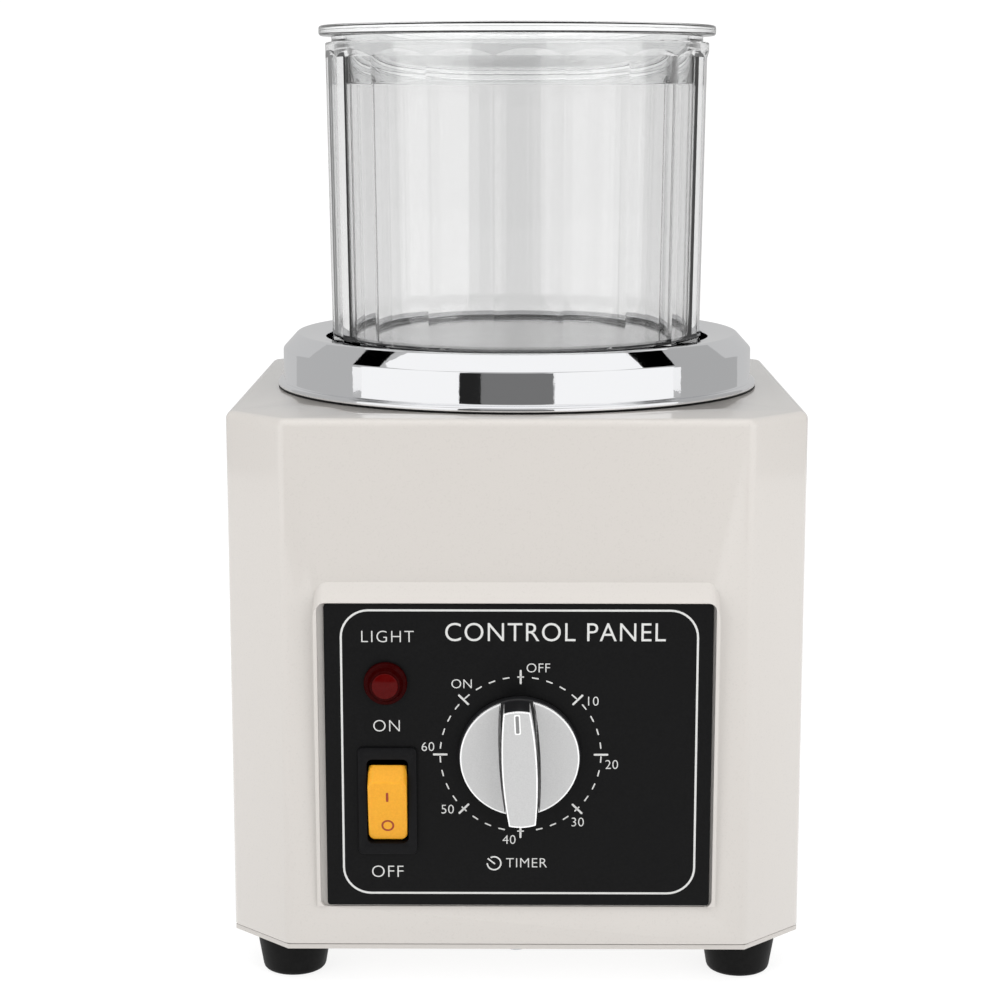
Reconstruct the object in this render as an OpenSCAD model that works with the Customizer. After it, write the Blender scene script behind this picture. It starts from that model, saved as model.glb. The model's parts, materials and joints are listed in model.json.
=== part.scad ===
// Bench magnetic tumbler: a clear lidded bowl stands in a bright ring on top of a
// square sheet-metal casing. A motor inside turns a disc of magnets under the bowl.
// X is to the right and Z is up. The front, with the control panel, faces -Y.
// The origin lies under the bowl's axis, on the plane that the feet stand on.

/* [Casing] */
// Width and depth of the casing
casing_w = 185; // [178:1:195]
// Height of the casing with its base plate
casing_h = 172; // [168:1:180]
// Width of the flats cut across the upright corners, along each side
corner_cut = 19; // [16:0.5:22]
// Sheet thickness of the casing
sheet_t = 1.2; // [1:0.1:1.5]
// Outer radius of the bends
bend_r = 3; // [2:0.5:4]
// Thickness of the base plate
base_t = 1.5; // [1.2:0.1:2]

/* [Feet] */
// Height of the feet below the base plate
foot_h = 13; // [12:0.5:16]
// Diameter of a foot at its top
foot_top_d = 24; // [20:0.5:24]
// Diameter of a foot where it stands
foot_bottom_d = 19.8; // [17:0.2:20]
// Distance between the feet, both ways
foot_pitch = 146; // [142:1:148]

/* [Ring] */
// Diameter of the ring's flange
ring_flange_d = 164.8; // [162:0.2:168]
// Diameter of the ring's upright wall
ring_wall_d = 161; // [159:0.5:161.5]
// Diameter where the ring's bevel meets its top
ring_bevel_d = 151; // [149:0.5:153]
// Height of the ring
ring_h = 18.5; // [17:0.5:20]
// Diameter of the opening that the bowl stands in
ring_bore_d = 131.4; // [131:0.2:133]
// Wall thickness of the ring
ring_t = 1.8; // [1.5:0.1:2]

/* [Bowl and lid] */
// Outer diameter of the bowl at its rim
bowl_d = 130; // [128:0.5:130.4]
// Outer diameter of the bowl at its base
bowl_base_d = 126.8; // [125:0.2:127]
// Height of the bowl
bowl_h = 108.1; // [90:0.1:120]
// Wall thickness of the bowl
bowl_t = 2.7; // [2.2:0.1:3]
// Number of flats round the bowl
flat_count = 18; // [12:1:24]
// Diameter of the lid
lid_d = 134.4; // [132:0.2:138]
// Thickness of the lid's brim
lid_t = 3.4; // [3:0.1:5]

/* [Control panel] */
// Width of the control panel
panel_w = 122; // [118:1:123]
// Height of the control panel
panel_h = 99; // [96:1:100]
// Lean of the control panel, its top edge standing further out
panel_tilt = 1.75; // [1:0.05:2.5]
// Diameter of the timer knob
knob_d = 38; // [34:0.5:42]
// Height of the timer knob above the panel
knob_h = 16; // [14:0.5:20]
// Tilt of the rocker each way from level
rocker_tilt = 13.6; // [10:0.2:15]
// Diameter of the pilot lamp's lens
lamp_d = 13.7; // [12:0.1:15]

/* [Drive] */
// Diameter of the magnet disc
disc_d = 112; // [100:1:114]
// Number of magnets on the disc
magnet_count = 6; // [4:2:8]
// Diameter of each magnet
magnet_d = 22; // [18:1:24]
// Diameter of the motor's frame
motor_d = 72; // [66:1:76]
// Diameter of the motor shaft
shaft_d = 8; // [6:1:8]

/* [Hidden] */

$fn = 96;
hull_fn = 24;
// Overlap that makes a cut run clean through
over = 1;
// Radial clearance of a shaft that turns in its bearing
running = 0.05;

// Heights above the surface that the machine stands on
base_z = foot_h;
floor_z = base_z + base_t;
top_z = base_z + casing_h;
seat_z = top_z + 8;
rim_z = seat_z + bowl_h;
half_w = casing_w / 2;

// Screws
screw_r = 2;
screw_hole_r = 2.2;
screw_head_r = 3.8;
screw_head_h = 1.8;
nut_r = 4;
nut_h = 3;

// Ring and seat dish
ring_flange_h = 2.5;
ring_wall_h = 13;
ring_lip_drop = 9;
ring_boss_r = 3.6;
ring_boss_pitch_r = 75.7;
dish_r = 64.2;
dish_t = 2;
dish_flange_r = 71.8;
dish_flange_t = 1.5;
dish_screw_r = 68.2;
top_opening_r = 61;

// Bowl and lid
bowl_floor_z = 6;
bowl_floor_t = 3;
flat_depth = 0.75;
flat_turn = 3.5;
flat_top = bowl_h - 4;
lid_gap = 2.1;
lid_skirt_h = 14;
lid_skirt_t = 2.2;
lid_fit = 0.3;
lid_plate_t = 2.4;

// Hood round the control panel, heights measured down from the casing's top
hood_w = 127.4;
hood_top = 51.5;
hood_rim = 57;
hood_bottom = 157.4;
hood_proud_top = 4.6;
hood_proud_bottom = 1;
hood_corner_r = 4;
panel_x = 0.65;
panel_z = top_z - 107.35;
panel_y = -half_w - 2.2;
panel_t = 1.5;
recess_w = 125;
recess_h = 100.4;
window_w = 106;
window_h = 84;
stud_x = 57;
stud_y = 36;
stud_r = 1.5;

// Controls, measured on the panel from its middle
timer_x = 0.4;
timer_y = 0.75;
timer_w = 46;
timer_depth = 32;
timer_shaft_r = 3;
timer_screw_x = 11;
knob_gap = 0.5;
knob_skirt_h = 3;
knob_bar_w = 9.4;
knob_bar_l = 37;
knob_face_t = 0.8;
knob_rest = 2.8;
switch_x = -41.4;
switch_y = -14.5;
switch_w = 18.7;
switch_h = 35.3;
switch_lip = 1.2;
switch_open_w = 13.2;
switch_open_h = 27.8;
switch_body_w = 16.4;
switch_body_h = 31.6;
switch_depth = 24;
rocker_w = 12.3;
rocker_pivot = 8.4;
rocker_face = 3.1;
rocker_crest = 10.45;
rocker_end = 13.6;
rocker_pin_r = 1.5;
lamp_x = -41.75;
lamp_y = 24.15;
lamp_barrel_r = 4.8;

// Motor and the frame that carries it
post_pitch = 92;
post_r = 5;
plate_z = 128;
plate_t = 2.5;
plate_w = 108;
motor_z = 64;
motor_wall = 2;
bearing_r = 11;
bearing_h = 8;
core_z = 80;
core_h = 32;
core_inner_r = 20.5;
rotor_r = 20;
coil_h = 7;
shaft_z = 46;
fan_z = 47;
fan_h = 12;
fan_r = 30;
disc_z = top_z - 7;
disc_t = 6;
disc_hub_r = 13;
disc_hub_h = 18;
magnet_t = 6;
magnet_sink = 3;
magnet_pitch_r = 40;

// Rear fittings and the parts on the base plate
gland_x = 52;
gland_z = base_z + 27;
gland_bore_r = 3.75;
gland_r = 6.4;
fuse_x = -52;
fuse_z = base_z + 27;
fuse_barrel_r = 6.3;
bracket_x = 72;
bracket_y = 30;
clip_t = 1.2;
clip_screw_y = 27;
capacitor_l = 37;
capacitor_h = 28;
block_h = 16;
block_screw_y = 16;
earth_y = -20;

// Outline of the casing, drawn in by an amount
function outline(inset) =
    let (w = half_w - inset, c = w - corner_cut + inset * (2 - sqrt(2)))
    [[w, c], [c, w], [-c, w], [-w, c], [-w, -c], [-c, -w], [c, -w], [w, -c]];

module rounded_rect(w, h, r) {
    square([w - 2 * r, h], center = true);
    square([w, h - 2 * r], center = true);
    for (x = [-1, 1], y = [-1, 1])
        translate([x * (w / 2 - r), y * (h / 2 - r)]) circle(r);
}

module tube(r_out, r_in, h) {
    difference() {
        cylinder(r = r_out, h = h);
        translate([0, 0, -over]) cylinder(r = r_in, h = h + 2 * over);
    }
}

module hex_nut(r, hole_r, h) {
    difference() {
        cylinder(r = r, h = h, $fn = 6);
        translate([0, 0, -over]) cylinder(r = hole_r, h = h + 2 * over);
    }
}

// Pan-head screw: its head stands above z = 0 and its shank reaches down
module screw(length, r = screw_r, head_r = screw_head_r, head_h = screw_head_h) {
    difference() {
        union() {
            cylinder(r1 = head_r, r2 = head_r * 0.75, h = head_h);
            translate([0, 0, -length]) cylinder(r = r, h = length + 0.1);
        }
        for (a = [0, 90]) rotate([0, 0, a])
            translate([-head_r * 0.45, -0.4, head_h * 0.4]) cube([head_r * 0.9, 0.8, head_h]);
    }
}

// Places its children at the corners of a square
module at_corners(pitch) {
    for (x = [-1, 1], y = [-1, 1])
        translate([x * pitch / 2, y * pitch / 2, 0]) children();
}

// Places its children on a circle
module around(count, r, turn = 0) {
    for (i = [0:count - 1]) rotate([0, 0, turn + i * 360 / count])
        translate([r, 0, 0]) children();
}

// Frame of the control panel: X right, Y up, Z out of the panel's face
module on_panel(x = 0, y = 0) {
    translate([panel_x, panel_y, panel_z]) rotate([90 + panel_tilt, 0, 0])
        translate([x, y, 0]) children();
}

// Frame of a fitting on the rear wall, Z out of the wall's face
module on_rear(x, z) {
    translate([x, half_w, z]) rotate([-90, 0, 0]) children();
}

// Bent-up box of the casing, drawn in by an amount
module casing_block(inset, z_low) {
    r = bend_r - inset;
    hull() for (p = outline(bend_r)) translate([p[0], p[1], 0]) {
        translate([0, 0, z_low]) cylinder(r = r, h = 1, $fn = hull_fn);
        translate([0, 0, top_z - bend_r]) rotate_extrude($fn = hull_fn) intersection() {
            circle(r, $fn = hull_fn);
            square(r);
        }
    }
}

// Pressed-out hood: a steep lip above the panel and sides that die away downwards
module hood_block(w, drop) {
    rim_y = -half_w - hood_proud_top;
    intersection() {
        translate([-w / 2, drop, 0]) rotate([90, 0, 90]) linear_extrude(w)
            polygon([
                [-half_w + sheet_t, top_z - hood_top + 1],
                [-half_w, top_z - hood_top],
                [rim_y, top_z - hood_rim],
                [-half_w - hood_proud_bottom, top_z - hood_bottom],
                [-half_w + sheet_t, top_z - hood_bottom]
            ]);
        translate([0, 0, top_z - hood_bottom / 2 - hood_top / 2]) rotate([90, 0, 0])
            linear_extrude(half_w + 20)
                rounded_rect(w, hood_bottom - hood_top + 2, hood_corner_r);
    }
}

module casing() color([0.86, 0.84, 0.81]) difference() {
    union() {
        difference() {
            union() {
                casing_block(0, floor_z);
                hood_block(hood_w, 0);
            }
            casing_block(sheet_t, floor_z - over);
            hood_block(hood_w - 2 * sheet_t, sheet_t * sqrt(2));
        }
        // Ledge behind the control panel
        intersection() {
            union() {
                casing_block(0, floor_z);
                hood_block(hood_w, 0);
            }
            on_panel(-panel_x) translate([0, 1, -panel_t - sheet_t]) linear_extrude(sheet_t)
                square([hood_w - 0.4, recess_h + 4], center = true);
        }
        // Tabs for the base screws
        for (a = [0:90:270]) rotate([0, 0, a])
            translate([half_w - sheet_t - 12, -7, floor_z]) cube([12.5, 14, 2]);
    }
    on_panel(-panel_x) translate([0, 0, -panel_t]) linear_extrude(20)
        square([recess_w, recess_h], center = true);
    on_panel() translate([0, 0, -20]) linear_extrude(30)
        square([window_w, window_h], center = true);
    on_panel() for (x = [-1, 1], y = [-1, 1])
        translate([x * stud_x, y * stud_y, -10]) cylinder(r = stud_r + 0.2, h = 20);
    // Opening over the magnets and the screw holes round it
    translate([0, 0, top_z - 10]) cylinder(r = top_opening_r, h = 20);
    around(4, ring_boss_pitch_r, 0) translate([0, 0, top_z - 10])
        cylinder(r = screw_hole_r, h = 20);
    around(4, dish_screw_r, 45) translate([0, 0, top_z - 10]) cylinder(r = screw_hole_r, h = 20);
    around(4, half_w - 7, 0) translate([0, 0, floor_z - over]) cylinder(r = screw_hole_r, h = 5);
    // Rear: gland, fuse holder and cooling slots
    on_rear(gland_x, gland_z) translate([0, 0, -5]) cylinder(r = gland_r, h = 10);
    on_rear(fuse_x, fuse_z) translate([0, 0, -5]) cylinder(r = fuse_barrel_r, h = 10);
    for (x = [-34, 34], i = [0:6])
        translate([x - 22, half_w - 5, base_z + 92 + i * 8]) cube([44, 10, 3]);
}

module base_plate() color([0.80, 0.79, 0.77]) difference() {
    translate([0, 0, base_z]) linear_extrude(base_t) polygon(outline(0.3));
    at_corners(foot_pitch) translate([0, 0, base_z - over]) cylinder(r = screw_hole_r, h = 5);
    at_corners(post_pitch) translate([0, 0, base_z - over]) cylinder(r = screw_hole_r, h = 5);
    around(4, half_w - 7, 0) translate([0, 0, base_z - over]) cylinder(r = screw_hole_r, h = 5);
    // Air slots under the fan
    for (i = [-4:4]) translate([i * 8 - 1.75, -sqrt(1500 - i * i * 50), base_z - over])
        cube([3.5, 2 * sqrt(1500 - i * i * 50), 5]);
    for (s = [-1, 1]) {
        translate([-bracket_x, bracket_y + s * clip_screw_y, base_z - over])
            cylinder(r = 1.7, h = 5);
        translate([bracket_x, bracket_y + s * block_screw_y, base_z - over])
            cylinder(r = 1.7, h = 5);
    }
    translate([bracket_x, earth_y, base_z - over]) cylinder(r = screw_r, h = 5);
}

module base_screws() color("silver") around(4, half_w - 7, 0)
    translate([0, 0, base_z]) mirror([0, 0, 1]) screw(5);

module foot(sx, sy) color([0.08, 0.08, 0.08])
    translate([sx * foot_pitch / 2, sy * foot_pitch / 2, 0]) rotate_extrude() polygon([
        [2.3, foot_h], [foot_top_d / 2 - 0.6, foot_h], [foot_top_d / 2, foot_h - 0.6],
        [foot_top_d / 2, foot_h - 2.4], [foot_bottom_d / 2, 1.2], [foot_bottom_d / 2 - 1.2, 0],
        [5, 0], [5, 7], [2.3, 7]
    ]);

module foot_screws() color("silver") at_corners(foot_pitch)
    translate([0, 0, 7]) mirror([0, 0, 1]) screw(12);

module foot_nuts() color("silver") at_corners(foot_pitch)
    translate([0, 0, floor_z]) hex_nut(nut_r, screw_r, nut_h);

module bowl_ring() color([0.90, 0.90, 0.92]) difference() {
    union() {
        translate([0, 0, top_z]) rotate_extrude() polygon([
            [ring_wall_d / 2 - ring_t, 0],
            [ring_flange_d / 2 - 0.5, 0], [ring_flange_d / 2, 0.5],
            [ring_flange_d / 2, ring_flange_h - 0.5], [ring_flange_d / 2 - 0.5, ring_flange_h],
            [ring_wall_d / 2, ring_flange_h], [ring_wall_d / 2, ring_wall_h],
            [ring_wall_d / 2 - 0.3, ring_wall_h + 0.8],
            [ring_bevel_d / 2, ring_h], [ring_bevel_d / 2 - 1, ring_h],
            [ring_bore_d / 2 + 0.8, ring_h - 1], [ring_bore_d / 2, ring_h - 1.8],
            [ring_bore_d / 2, ring_h - 1 - ring_lip_drop],
            [ring_bore_d / 2 + ring_t, ring_h - 1 - ring_lip_drop],
            [ring_bore_d / 2 + ring_t, ring_h - 1 - ring_t],
            [ring_bevel_d / 2 - 1, ring_h - ring_t],
            [ring_wall_d / 2 - ring_t - 0.3, ring_wall_h + 0.4],
            [ring_wall_d / 2 - ring_t, ring_wall_h]
        ]);
        around(4, ring_boss_pitch_r, 0) translate([0, 0, top_z])
            cylinder(r = ring_boss_r, h = ring_wall_h);
    }
    around(4, ring_boss_pitch_r, 0) translate([0, 0, top_z - over])
        cylinder(r = screw_r, h = 9 + over);
}

module ring_screws() color("silver") around(4, ring_boss_pitch_r, 0)
    translate([0, 0, top_z - sheet_t]) mirror([0, 0, 1]) screw(9);

// Shallow top-hat of aluminium that the bowl stands on and that covers the magnets
module seat_dish() color([0.75, 0.75, 0.77]) difference() {
    translate([0, 0, top_z]) rotate_extrude() polygon([
        [dish_r - dish_t, 0], [dish_flange_r, 0], [dish_flange_r, dish_flange_t],
        [dish_r, dish_flange_t], [dish_r, seat_z - top_z - 0.6], [dish_r - 0.6, seat_z - top_z],
        [0, seat_z - top_z], [0, seat_z - top_z - dish_t],
        [dish_r - dish_t, seat_z - top_z - dish_t]
    ]);
    around(4, dish_screw_r, 45) translate([0, 0, top_z - over]) cylinder(r = screw_hole_r, h = 5);
}

module seat_screws() color("silver") around(4, dish_screw_r, 45)
    translate([0, 0, top_z + dish_flange_t]) screw(7, head_r = 3.4);

module seat_nuts() color("silver") around(4, dish_screw_r, 45)
    translate([0, 0, top_z - sheet_t - nut_h]) hex_nut(nut_r, screw_r, nut_h);

module bowl() color([0.85, 0.90, 0.92, 0.4]) difference() {
    base_r = bowl_base_d / 2;
    rim_r = bowl_d / 2;
    wall_lean = atan2(rim_r - base_r, bowl_h);
    translate([0, 0, seat_z]) rotate_extrude() polygon([
        [base_r - bowl_t, 0], [base_r - 0.8, 0], [base_r, 0.8],
        [rim_r, bowl_h - 0.5], [rim_r - 0.5, bowl_h],
        [rim_r - bowl_t + 0.5, bowl_h], [rim_r - bowl_t, bowl_h - 0.5],
        [base_r - bowl_t + 0.3, bowl_floor_z + bowl_floor_t + 2],
        [base_r - bowl_t - 1.7, bowl_floor_z + bowl_floor_t],
        [0, bowl_floor_z + bowl_floor_t], [0, bowl_floor_z],
        [base_r - bowl_t, bowl_floor_z]
    ]);
    // Moulded flats, parallel to the tapered wall and stopping short of the rim
    for (i = [0:flat_count - 1])
        rotate([0, 0, -90 + flat_turn + i * 360 / flat_count])
            translate([base_r - flat_depth, 0, seat_z]) rotate([0, wall_lean, 0])
                translate([0, -15, -5]) cube([10, 30, flat_top + 5]);
}

module lid() color([0.85, 0.90, 0.92, 0.4]) {
    skirt_r = bowl_d / 2 - bowl_t - lid_fit;
    shoulder_r = bowl_d / 2 - bowl_t + 0.7;
    translate([0, 0, rim_z]) rotate_extrude() polygon([
        [skirt_r - lid_skirt_t, -lid_skirt_h], [skirt_r - 0.6, -lid_skirt_h],
        [skirt_r, -lid_skirt_h + 0.6], [skirt_r, 0], [shoulder_r, 0], [shoulder_r, lid_gap],
        [lid_d / 2 - 0.8, lid_gap], [lid_d / 2, lid_gap + 0.8],
        [lid_d / 2, lid_gap + lid_t - 0.6], [lid_d / 2 - 0.6, lid_gap + lid_t],
        [0, lid_gap + lid_t], [0, lid_gap + lid_t - lid_plate_t],
        [skirt_r - lid_skirt_t, lid_gap + lid_t - lid_plate_t]
    ]);
}

module control_panel() color([0.10, 0.10, 0.10]) on_panel() {
    difference() {
        translate([0, 0, -panel_t]) linear_extrude(panel_t) rounded_rect(panel_w, panel_h, 1);
        translate([timer_x, timer_y, -10]) cylinder(r = 5.2, h = 20);
        for (s = [-1, 1]) translate([timer_x + s * timer_screw_x, timer_y, 0]) {
            translate([0, 0, -10]) cylinder(r = 1.7, h = 20);
            translate([0, 0, -1.2]) cylinder(r1 = 1.7, r2 = 2.9, h = 1.2);
            cylinder(r = 2.9, h = 1);
        }
        translate([switch_x, switch_y, 0])
            cube([switch_body_w, switch_body_h, 20], center = true);
        translate([lamp_x, lamp_y, -10]) cylinder(r = lamp_barrel_r, h = 20);
    }
    for (x = [-1, 1], y = [-1, 1]) translate([x * stud_x, y * stud_y, -panel_t - 7])
        cylinder(r = stud_r, h = 7.1);
}

module panel_nuts() color("silver") on_panel() for (x = [-1, 1], y = [-1, 1])
    translate([x * stud_x, y * stud_y, -panel_t - sheet_t - 2.4]) hex_nut(3.1, stud_r, 2.4);

module switch_housing() color([0.09, 0.09, 0.09]) on_panel(switch_x, switch_y) difference() {
    union() {
        linear_extrude(switch_lip) rounded_rect(switch_w, switch_h, 1.5);
        translate([-switch_body_w / 2, -switch_body_h / 2, -switch_depth])
            cube([switch_body_w, switch_body_h, switch_depth + 0.1]);
    }
    translate([0, 0, 1]) cube([switch_open_w, switch_open_h, 8], center = true);
    translate([-switch_open_w / 2, -15.1, -switch_depth + 2])
        cube([switch_open_w, 30.2, switch_depth - 5]);
    // Holes that the rocker's pivot pins turn in
    translate([0, 0, -rocker_pivot]) rotate([0, 90, 0])
        cylinder(r = rocker_pin_r + running, h = 14.8, center = true);
}

module switch_rocker() color([1.0, 0.68, 0.15]) on_panel(switch_x, switch_y)
    translate([0, 0, -rocker_pivot]) rotate([rocker_tilt, 0, 0]) {
        face_h = rocker_pivot + rocker_face;
        rotate([90, 0, 90]) linear_extrude(rocker_w, center = true) polygon([
            [-rocker_crest, face_h], [-rocker_end, face_h - 5.6], [-6, -3], [6, -3],
            [rocker_end, face_h - 5.6], [rocker_crest, face_h]
        ]);
        rotate([0, 90, 0]) cylinder(r = rocker_pin_r, h = 14.4, center = true);
    }

module switch_terminals() color([0.85, 0.70, 0.40]) on_panel(switch_x, switch_y)
    for (x = [-4.2, 4.2], y = [-9, 0]) translate([x, y, -switch_depth - 8])
        difference() {
            translate([-0.4, -2.4, 0]) cube([0.8, 4.8, 8]);
            translate([0, 0, 3]) rotate([0, 90, 0]) cylinder(r = 0.8, h = 4, center = true);
        }

module lamp_lens() color([0.55, 0.03, 0.03, 0.85]) on_panel(lamp_x, lamp_y) rotate_extrude()
    polygon([
        [0, 1], [lamp_d / 2 - 1.2, 1], [lamp_d / 2 - 1.2, 0], [lamp_d / 2, 0],
        [lamp_d / 2, 1.4], [lamp_d / 2 - 1, 3], [lamp_d / 2 - 3, 4.4], [0, 5]
    ]);

module lamp_body() color([0.12, 0.12, 0.12]) on_panel(lamp_x, lamp_y) difference() {
    union() {
        cylinder(r = lamp_d / 2 - 1.2, h = 1);
        translate([0, 0, -22]) cylinder(r = lamp_barrel_r, h = 22.1);
    }
    translate([0, 0, -18]) cylinder(r = 3.4, h = 17.4);
}

module lamp_nut() color("silver") on_panel(lamp_x, lamp_y)
    translate([0, 0, -panel_t - 2]) hex_nut(8, lamp_barrel_r, 2);

module lamp_terminals() color([0.85, 0.70, 0.40]) on_panel(lamp_x, lamp_y)
    for (x = [-2.2, 2.2]) translate([x - 0.3, -1.4, -29]) cube([0.6, 2.8, 7]);

module timer_body() color([0.70, 0.70, 0.68]) on_panel(timer_x, timer_y) difference() {
    union() {
        translate([0, 0, -panel_t - timer_depth / 2])
            cube([timer_w, timer_w, timer_depth], center = true);
        translate([0, 0, -panel_t - 1]) cylinder(r = 5, h = panel_t + 1.2);
    }
    translate([0, 0, -24]) cylinder(r = timer_shaft_r + running, h = 30);
    for (s = [-1, 1]) translate([s * timer_screw_x, 0, -8]) cylinder(r = 1.5, h = 20);
}

module timer_screws() color("silver") on_panel(timer_x, timer_y)
    for (s = [-1, 1]) translate([s * timer_screw_x, 0, 0]) difference() {
        union() {
            translate([0, 0, -7.8]) cylinder(r = 1.5, h = 6.8);
            translate([0, 0, -1.2]) cylinder(r1 = 1.6, r2 = 2.8, h = 1.2);
        }
        translate([-2, -0.3, -0.6]) cube([4, 0.6, 1]);
    }

module timer_terminals() color([0.85, 0.70, 0.40]) on_panel(timer_x, timer_y)
    for (x = [-12, 12]) translate([x, 0, -panel_t - timer_depth - 8]) difference() {
        translate([-2.4, -0.4, 0]) cube([4.8, 0.8, 8]);
        translate([0, 0, 3]) rotate([90, 0, 0]) cylinder(r = 0.8, h = 4, center = true);
    }

// The shaft has a flat on one side that the knob's bore sits on
module timer_shaft() color("silver") on_panel(timer_x, timer_y) difference() {
    translate([0, 0, -23]) cylinder(r = timer_shaft_r, h = 35);
    translate([timer_shaft_r - 1, -5, 3]) cube([5, 10, 20]);
}

module knob_turned() {
    on_panel(timer_x, timer_y) rotate([0, 0, knob_rest]) children();
}

// Plan of the grip bar, widest at its middle
module knob_bar_plan(w) {
    intersection() {
        square([w, knob_bar_l], center = true);
        circle(d = knob_bar_l + 0.6);
        for (s = [-1, 1]) translate([s * (60 - w / 2 - 0.9), 0]) circle(r = 60, $fn = 240);
    }
}

module knob_body() color([0.08, 0.08, 0.08]) knob_turned() difference() {
    union() {
        translate([0, 0, knob_gap]) cylinder(d1 = knob_d + 0.6, d2 = knob_d, h = knob_skirt_h);
        translate([0, 0, knob_gap]) linear_extrude(knob_h - knob_gap - knob_face_t)
            knob_bar_plan(knob_bar_w + 1.6);
    }
    translate([0, 0, -over]) cylinder(r = timer_shaft_r, h = 4);
    difference() {
        translate([0, 0, 2]) cylinder(r = timer_shaft_r, h = 10);
        rotate([0, 0, -knob_rest]) translate([timer_shaft_r - 1, -5, 3]) cube([5, 10, 20]);
    }
    translate([0, 0, -over]) difference() {
        cylinder(r = knob_d / 2 - 2, h = over + knob_gap + 1.2);
        cylinder(r = 5.2, h = 20);
    }
}

module knob_trim() color([0.80, 0.80, 0.80]) knob_turned() {
    translate([0, 0, knob_gap + knob_skirt_h]) linear_extrude(knob_face_t) difference() {
        circle(d = knob_d - 1);
        knob_bar_plan(knob_bar_w + 3);
        square([knob_bar_w, knob_d + 2], center = true);
    }
    difference() {
        translate([0, 0, knob_h - knob_face_t]) linear_extrude(knob_face_t)
            knob_bar_plan(knob_bar_w + 1.6);
        translate([-0.85, knob_bar_l / 2 - 7, knob_h - 0.5]) cube([1.7, 5.8, 1]);
    }
}

module motor_plate() color("silver") translate([0, 0, plate_z]) difference() {
    linear_extrude(plate_t) rounded_rect(plate_w, plate_w, 5);
    translate([0, 0, -over]) cylinder(r = bearing_r + 1, h = 10);
    at_corners(post_pitch) translate([0, 0, -over]) cylinder(r = screw_hole_r, h = 10);
    around(4, 28, 45) translate([0, 0, -over]) cylinder(r = screw_hole_r, h = 10);
}

module motor_posts() color([0.72, 0.72, 0.70]) at_corners(post_pitch)
    translate([0, 0, floor_z]) difference() {
        cylinder(r = post_r, h = plate_z - floor_z, $fn = 6);
        translate([0, 0, -over]) cylinder(r = screw_r, h = 12);
        translate([0, 0, plate_z - floor_z - 12]) cylinder(r = screw_r, h = 14);
    }

module post_screws() color("silver") at_corners(post_pitch)
    translate([0, 0, base_z]) mirror([0, 0, 1]) screw(10);

module plate_screws() color("silver") at_corners(post_pitch)
    translate([0, 0, plate_z + plate_t]) screw(12);

module motor_frame() color([0.25, 0.26, 0.28]) translate([0, 0, motor_z]) difference() {
    h = plate_z - motor_z;
    cylinder(d = motor_d, h = h);
    translate([0, 0, 3]) cylinder(d = motor_d - 2 * motor_wall, h = h - 6);
    translate([0, 0, -over]) cylinder(r = bearing_r, h = h + 2 * over);
    around(4, 28, 45) translate([0, 0, h - 4]) cylinder(r = screw_r, h = 10);
    // Air slots through the wall and the lower end
    around(8, motor_d / 2, 22.5) translate([-6, -4, 36 + 16]) cube([12, 8, 5]);
    around(8, 22, 0) translate([0, 0, -over]) cylinder(r = 4, h = 6);
}

module motor_screws() color("silver") around(4, 28, 45)
    translate([0, 0, plate_z + plate_t]) screw(5.4);

module stator_core() color([0.45, 0.45, 0.47]) translate([0, 0, core_z])
    tube(motor_d / 2 - motor_wall, core_inner_r, core_h);

module stator_coils() color([0.72, 0.38, 0.18]) for (z = [core_z - coil_h, core_z + core_h])
    translate([0, 0, z]) tube(motor_d / 2 - motor_wall - 2, core_inner_r + 2, coil_h);

module bearing(z) color([0.75, 0.60, 0.35]) translate([0, 0, z])
    tube(bearing_r, shaft_d / 2 + running, bearing_h);

module motor_shaft() color("silver") translate([0, 0, shaft_z])
    cylinder(d = shaft_d, h = disc_z + 2 - shaft_z);

module rotor_core() color([0.50, 0.50, 0.52]) translate([0, 0, core_z - 1])
    tube(rotor_r, shaft_d / 2, core_h + 2);

module cooling_fan() color([0.15, 0.15, 0.16]) translate([0, 0, fan_z]) difference() {
    union() {
        cylinder(r = 9, h = fan_h);
        for (i = [0:6]) rotate([0, 0, i * 360 / 7]) translate([8, 0, fan_h / 2])
            rotate([35, 0, 0]) translate([0, -6, -0.75]) cube([fan_r - 8, 12, 1.5]);
    }
    translate([0, 0, -over]) cylinder(d = shaft_d, h = fan_h + 2 * over);
    translate([0, 0, fan_h / 2]) rotate([0, 90, 180 / 7]) cylinder(r = 1.5, h = 20);
}

module fan_screw() color([0.2, 0.2, 0.2]) translate([0, 0, fan_z + fan_h / 2])
    rotate([0, 90, 180 / 7]) translate([0, 0, shaft_d / 2]) cylinder(r = 1.5, h = 5);

module magnet_disc() color([0.78, 0.78, 0.80]) translate([0, 0, disc_z]) difference() {
    union() {
        cylinder(d = disc_d, h = disc_t);
        translate([0, 0, -disc_hub_h]) cylinder(r = disc_hub_r, h = disc_hub_h + 1);
    }
    translate([0, 0, -disc_hub_h - over]) cylinder(d = shaft_d, h = disc_hub_h + over + 2);
    around(magnet_count, magnet_pitch_r) translate([0, 0, disc_t - magnet_sink])
        cylinder(d = magnet_d, h = 10);
    translate([0, 0, -disc_hub_h / 2]) rotate([0, 90, 0]) cylinder(r = 2, h = 20);
}

module magnets() color([0.55, 0.55, 0.58]) around(magnet_count, magnet_pitch_r)
    translate([0, 0, disc_z + disc_t - magnet_sink]) cylinder(d = magnet_d, h = magnet_t);

module disc_screw() color([0.2, 0.2, 0.2]) translate([0, 0, disc_z - disc_hub_h / 2])
    rotate([0, 90, 0]) translate([0, 0, shaft_d / 2]) cylinder(r = 2, h = 8.6);

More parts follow.
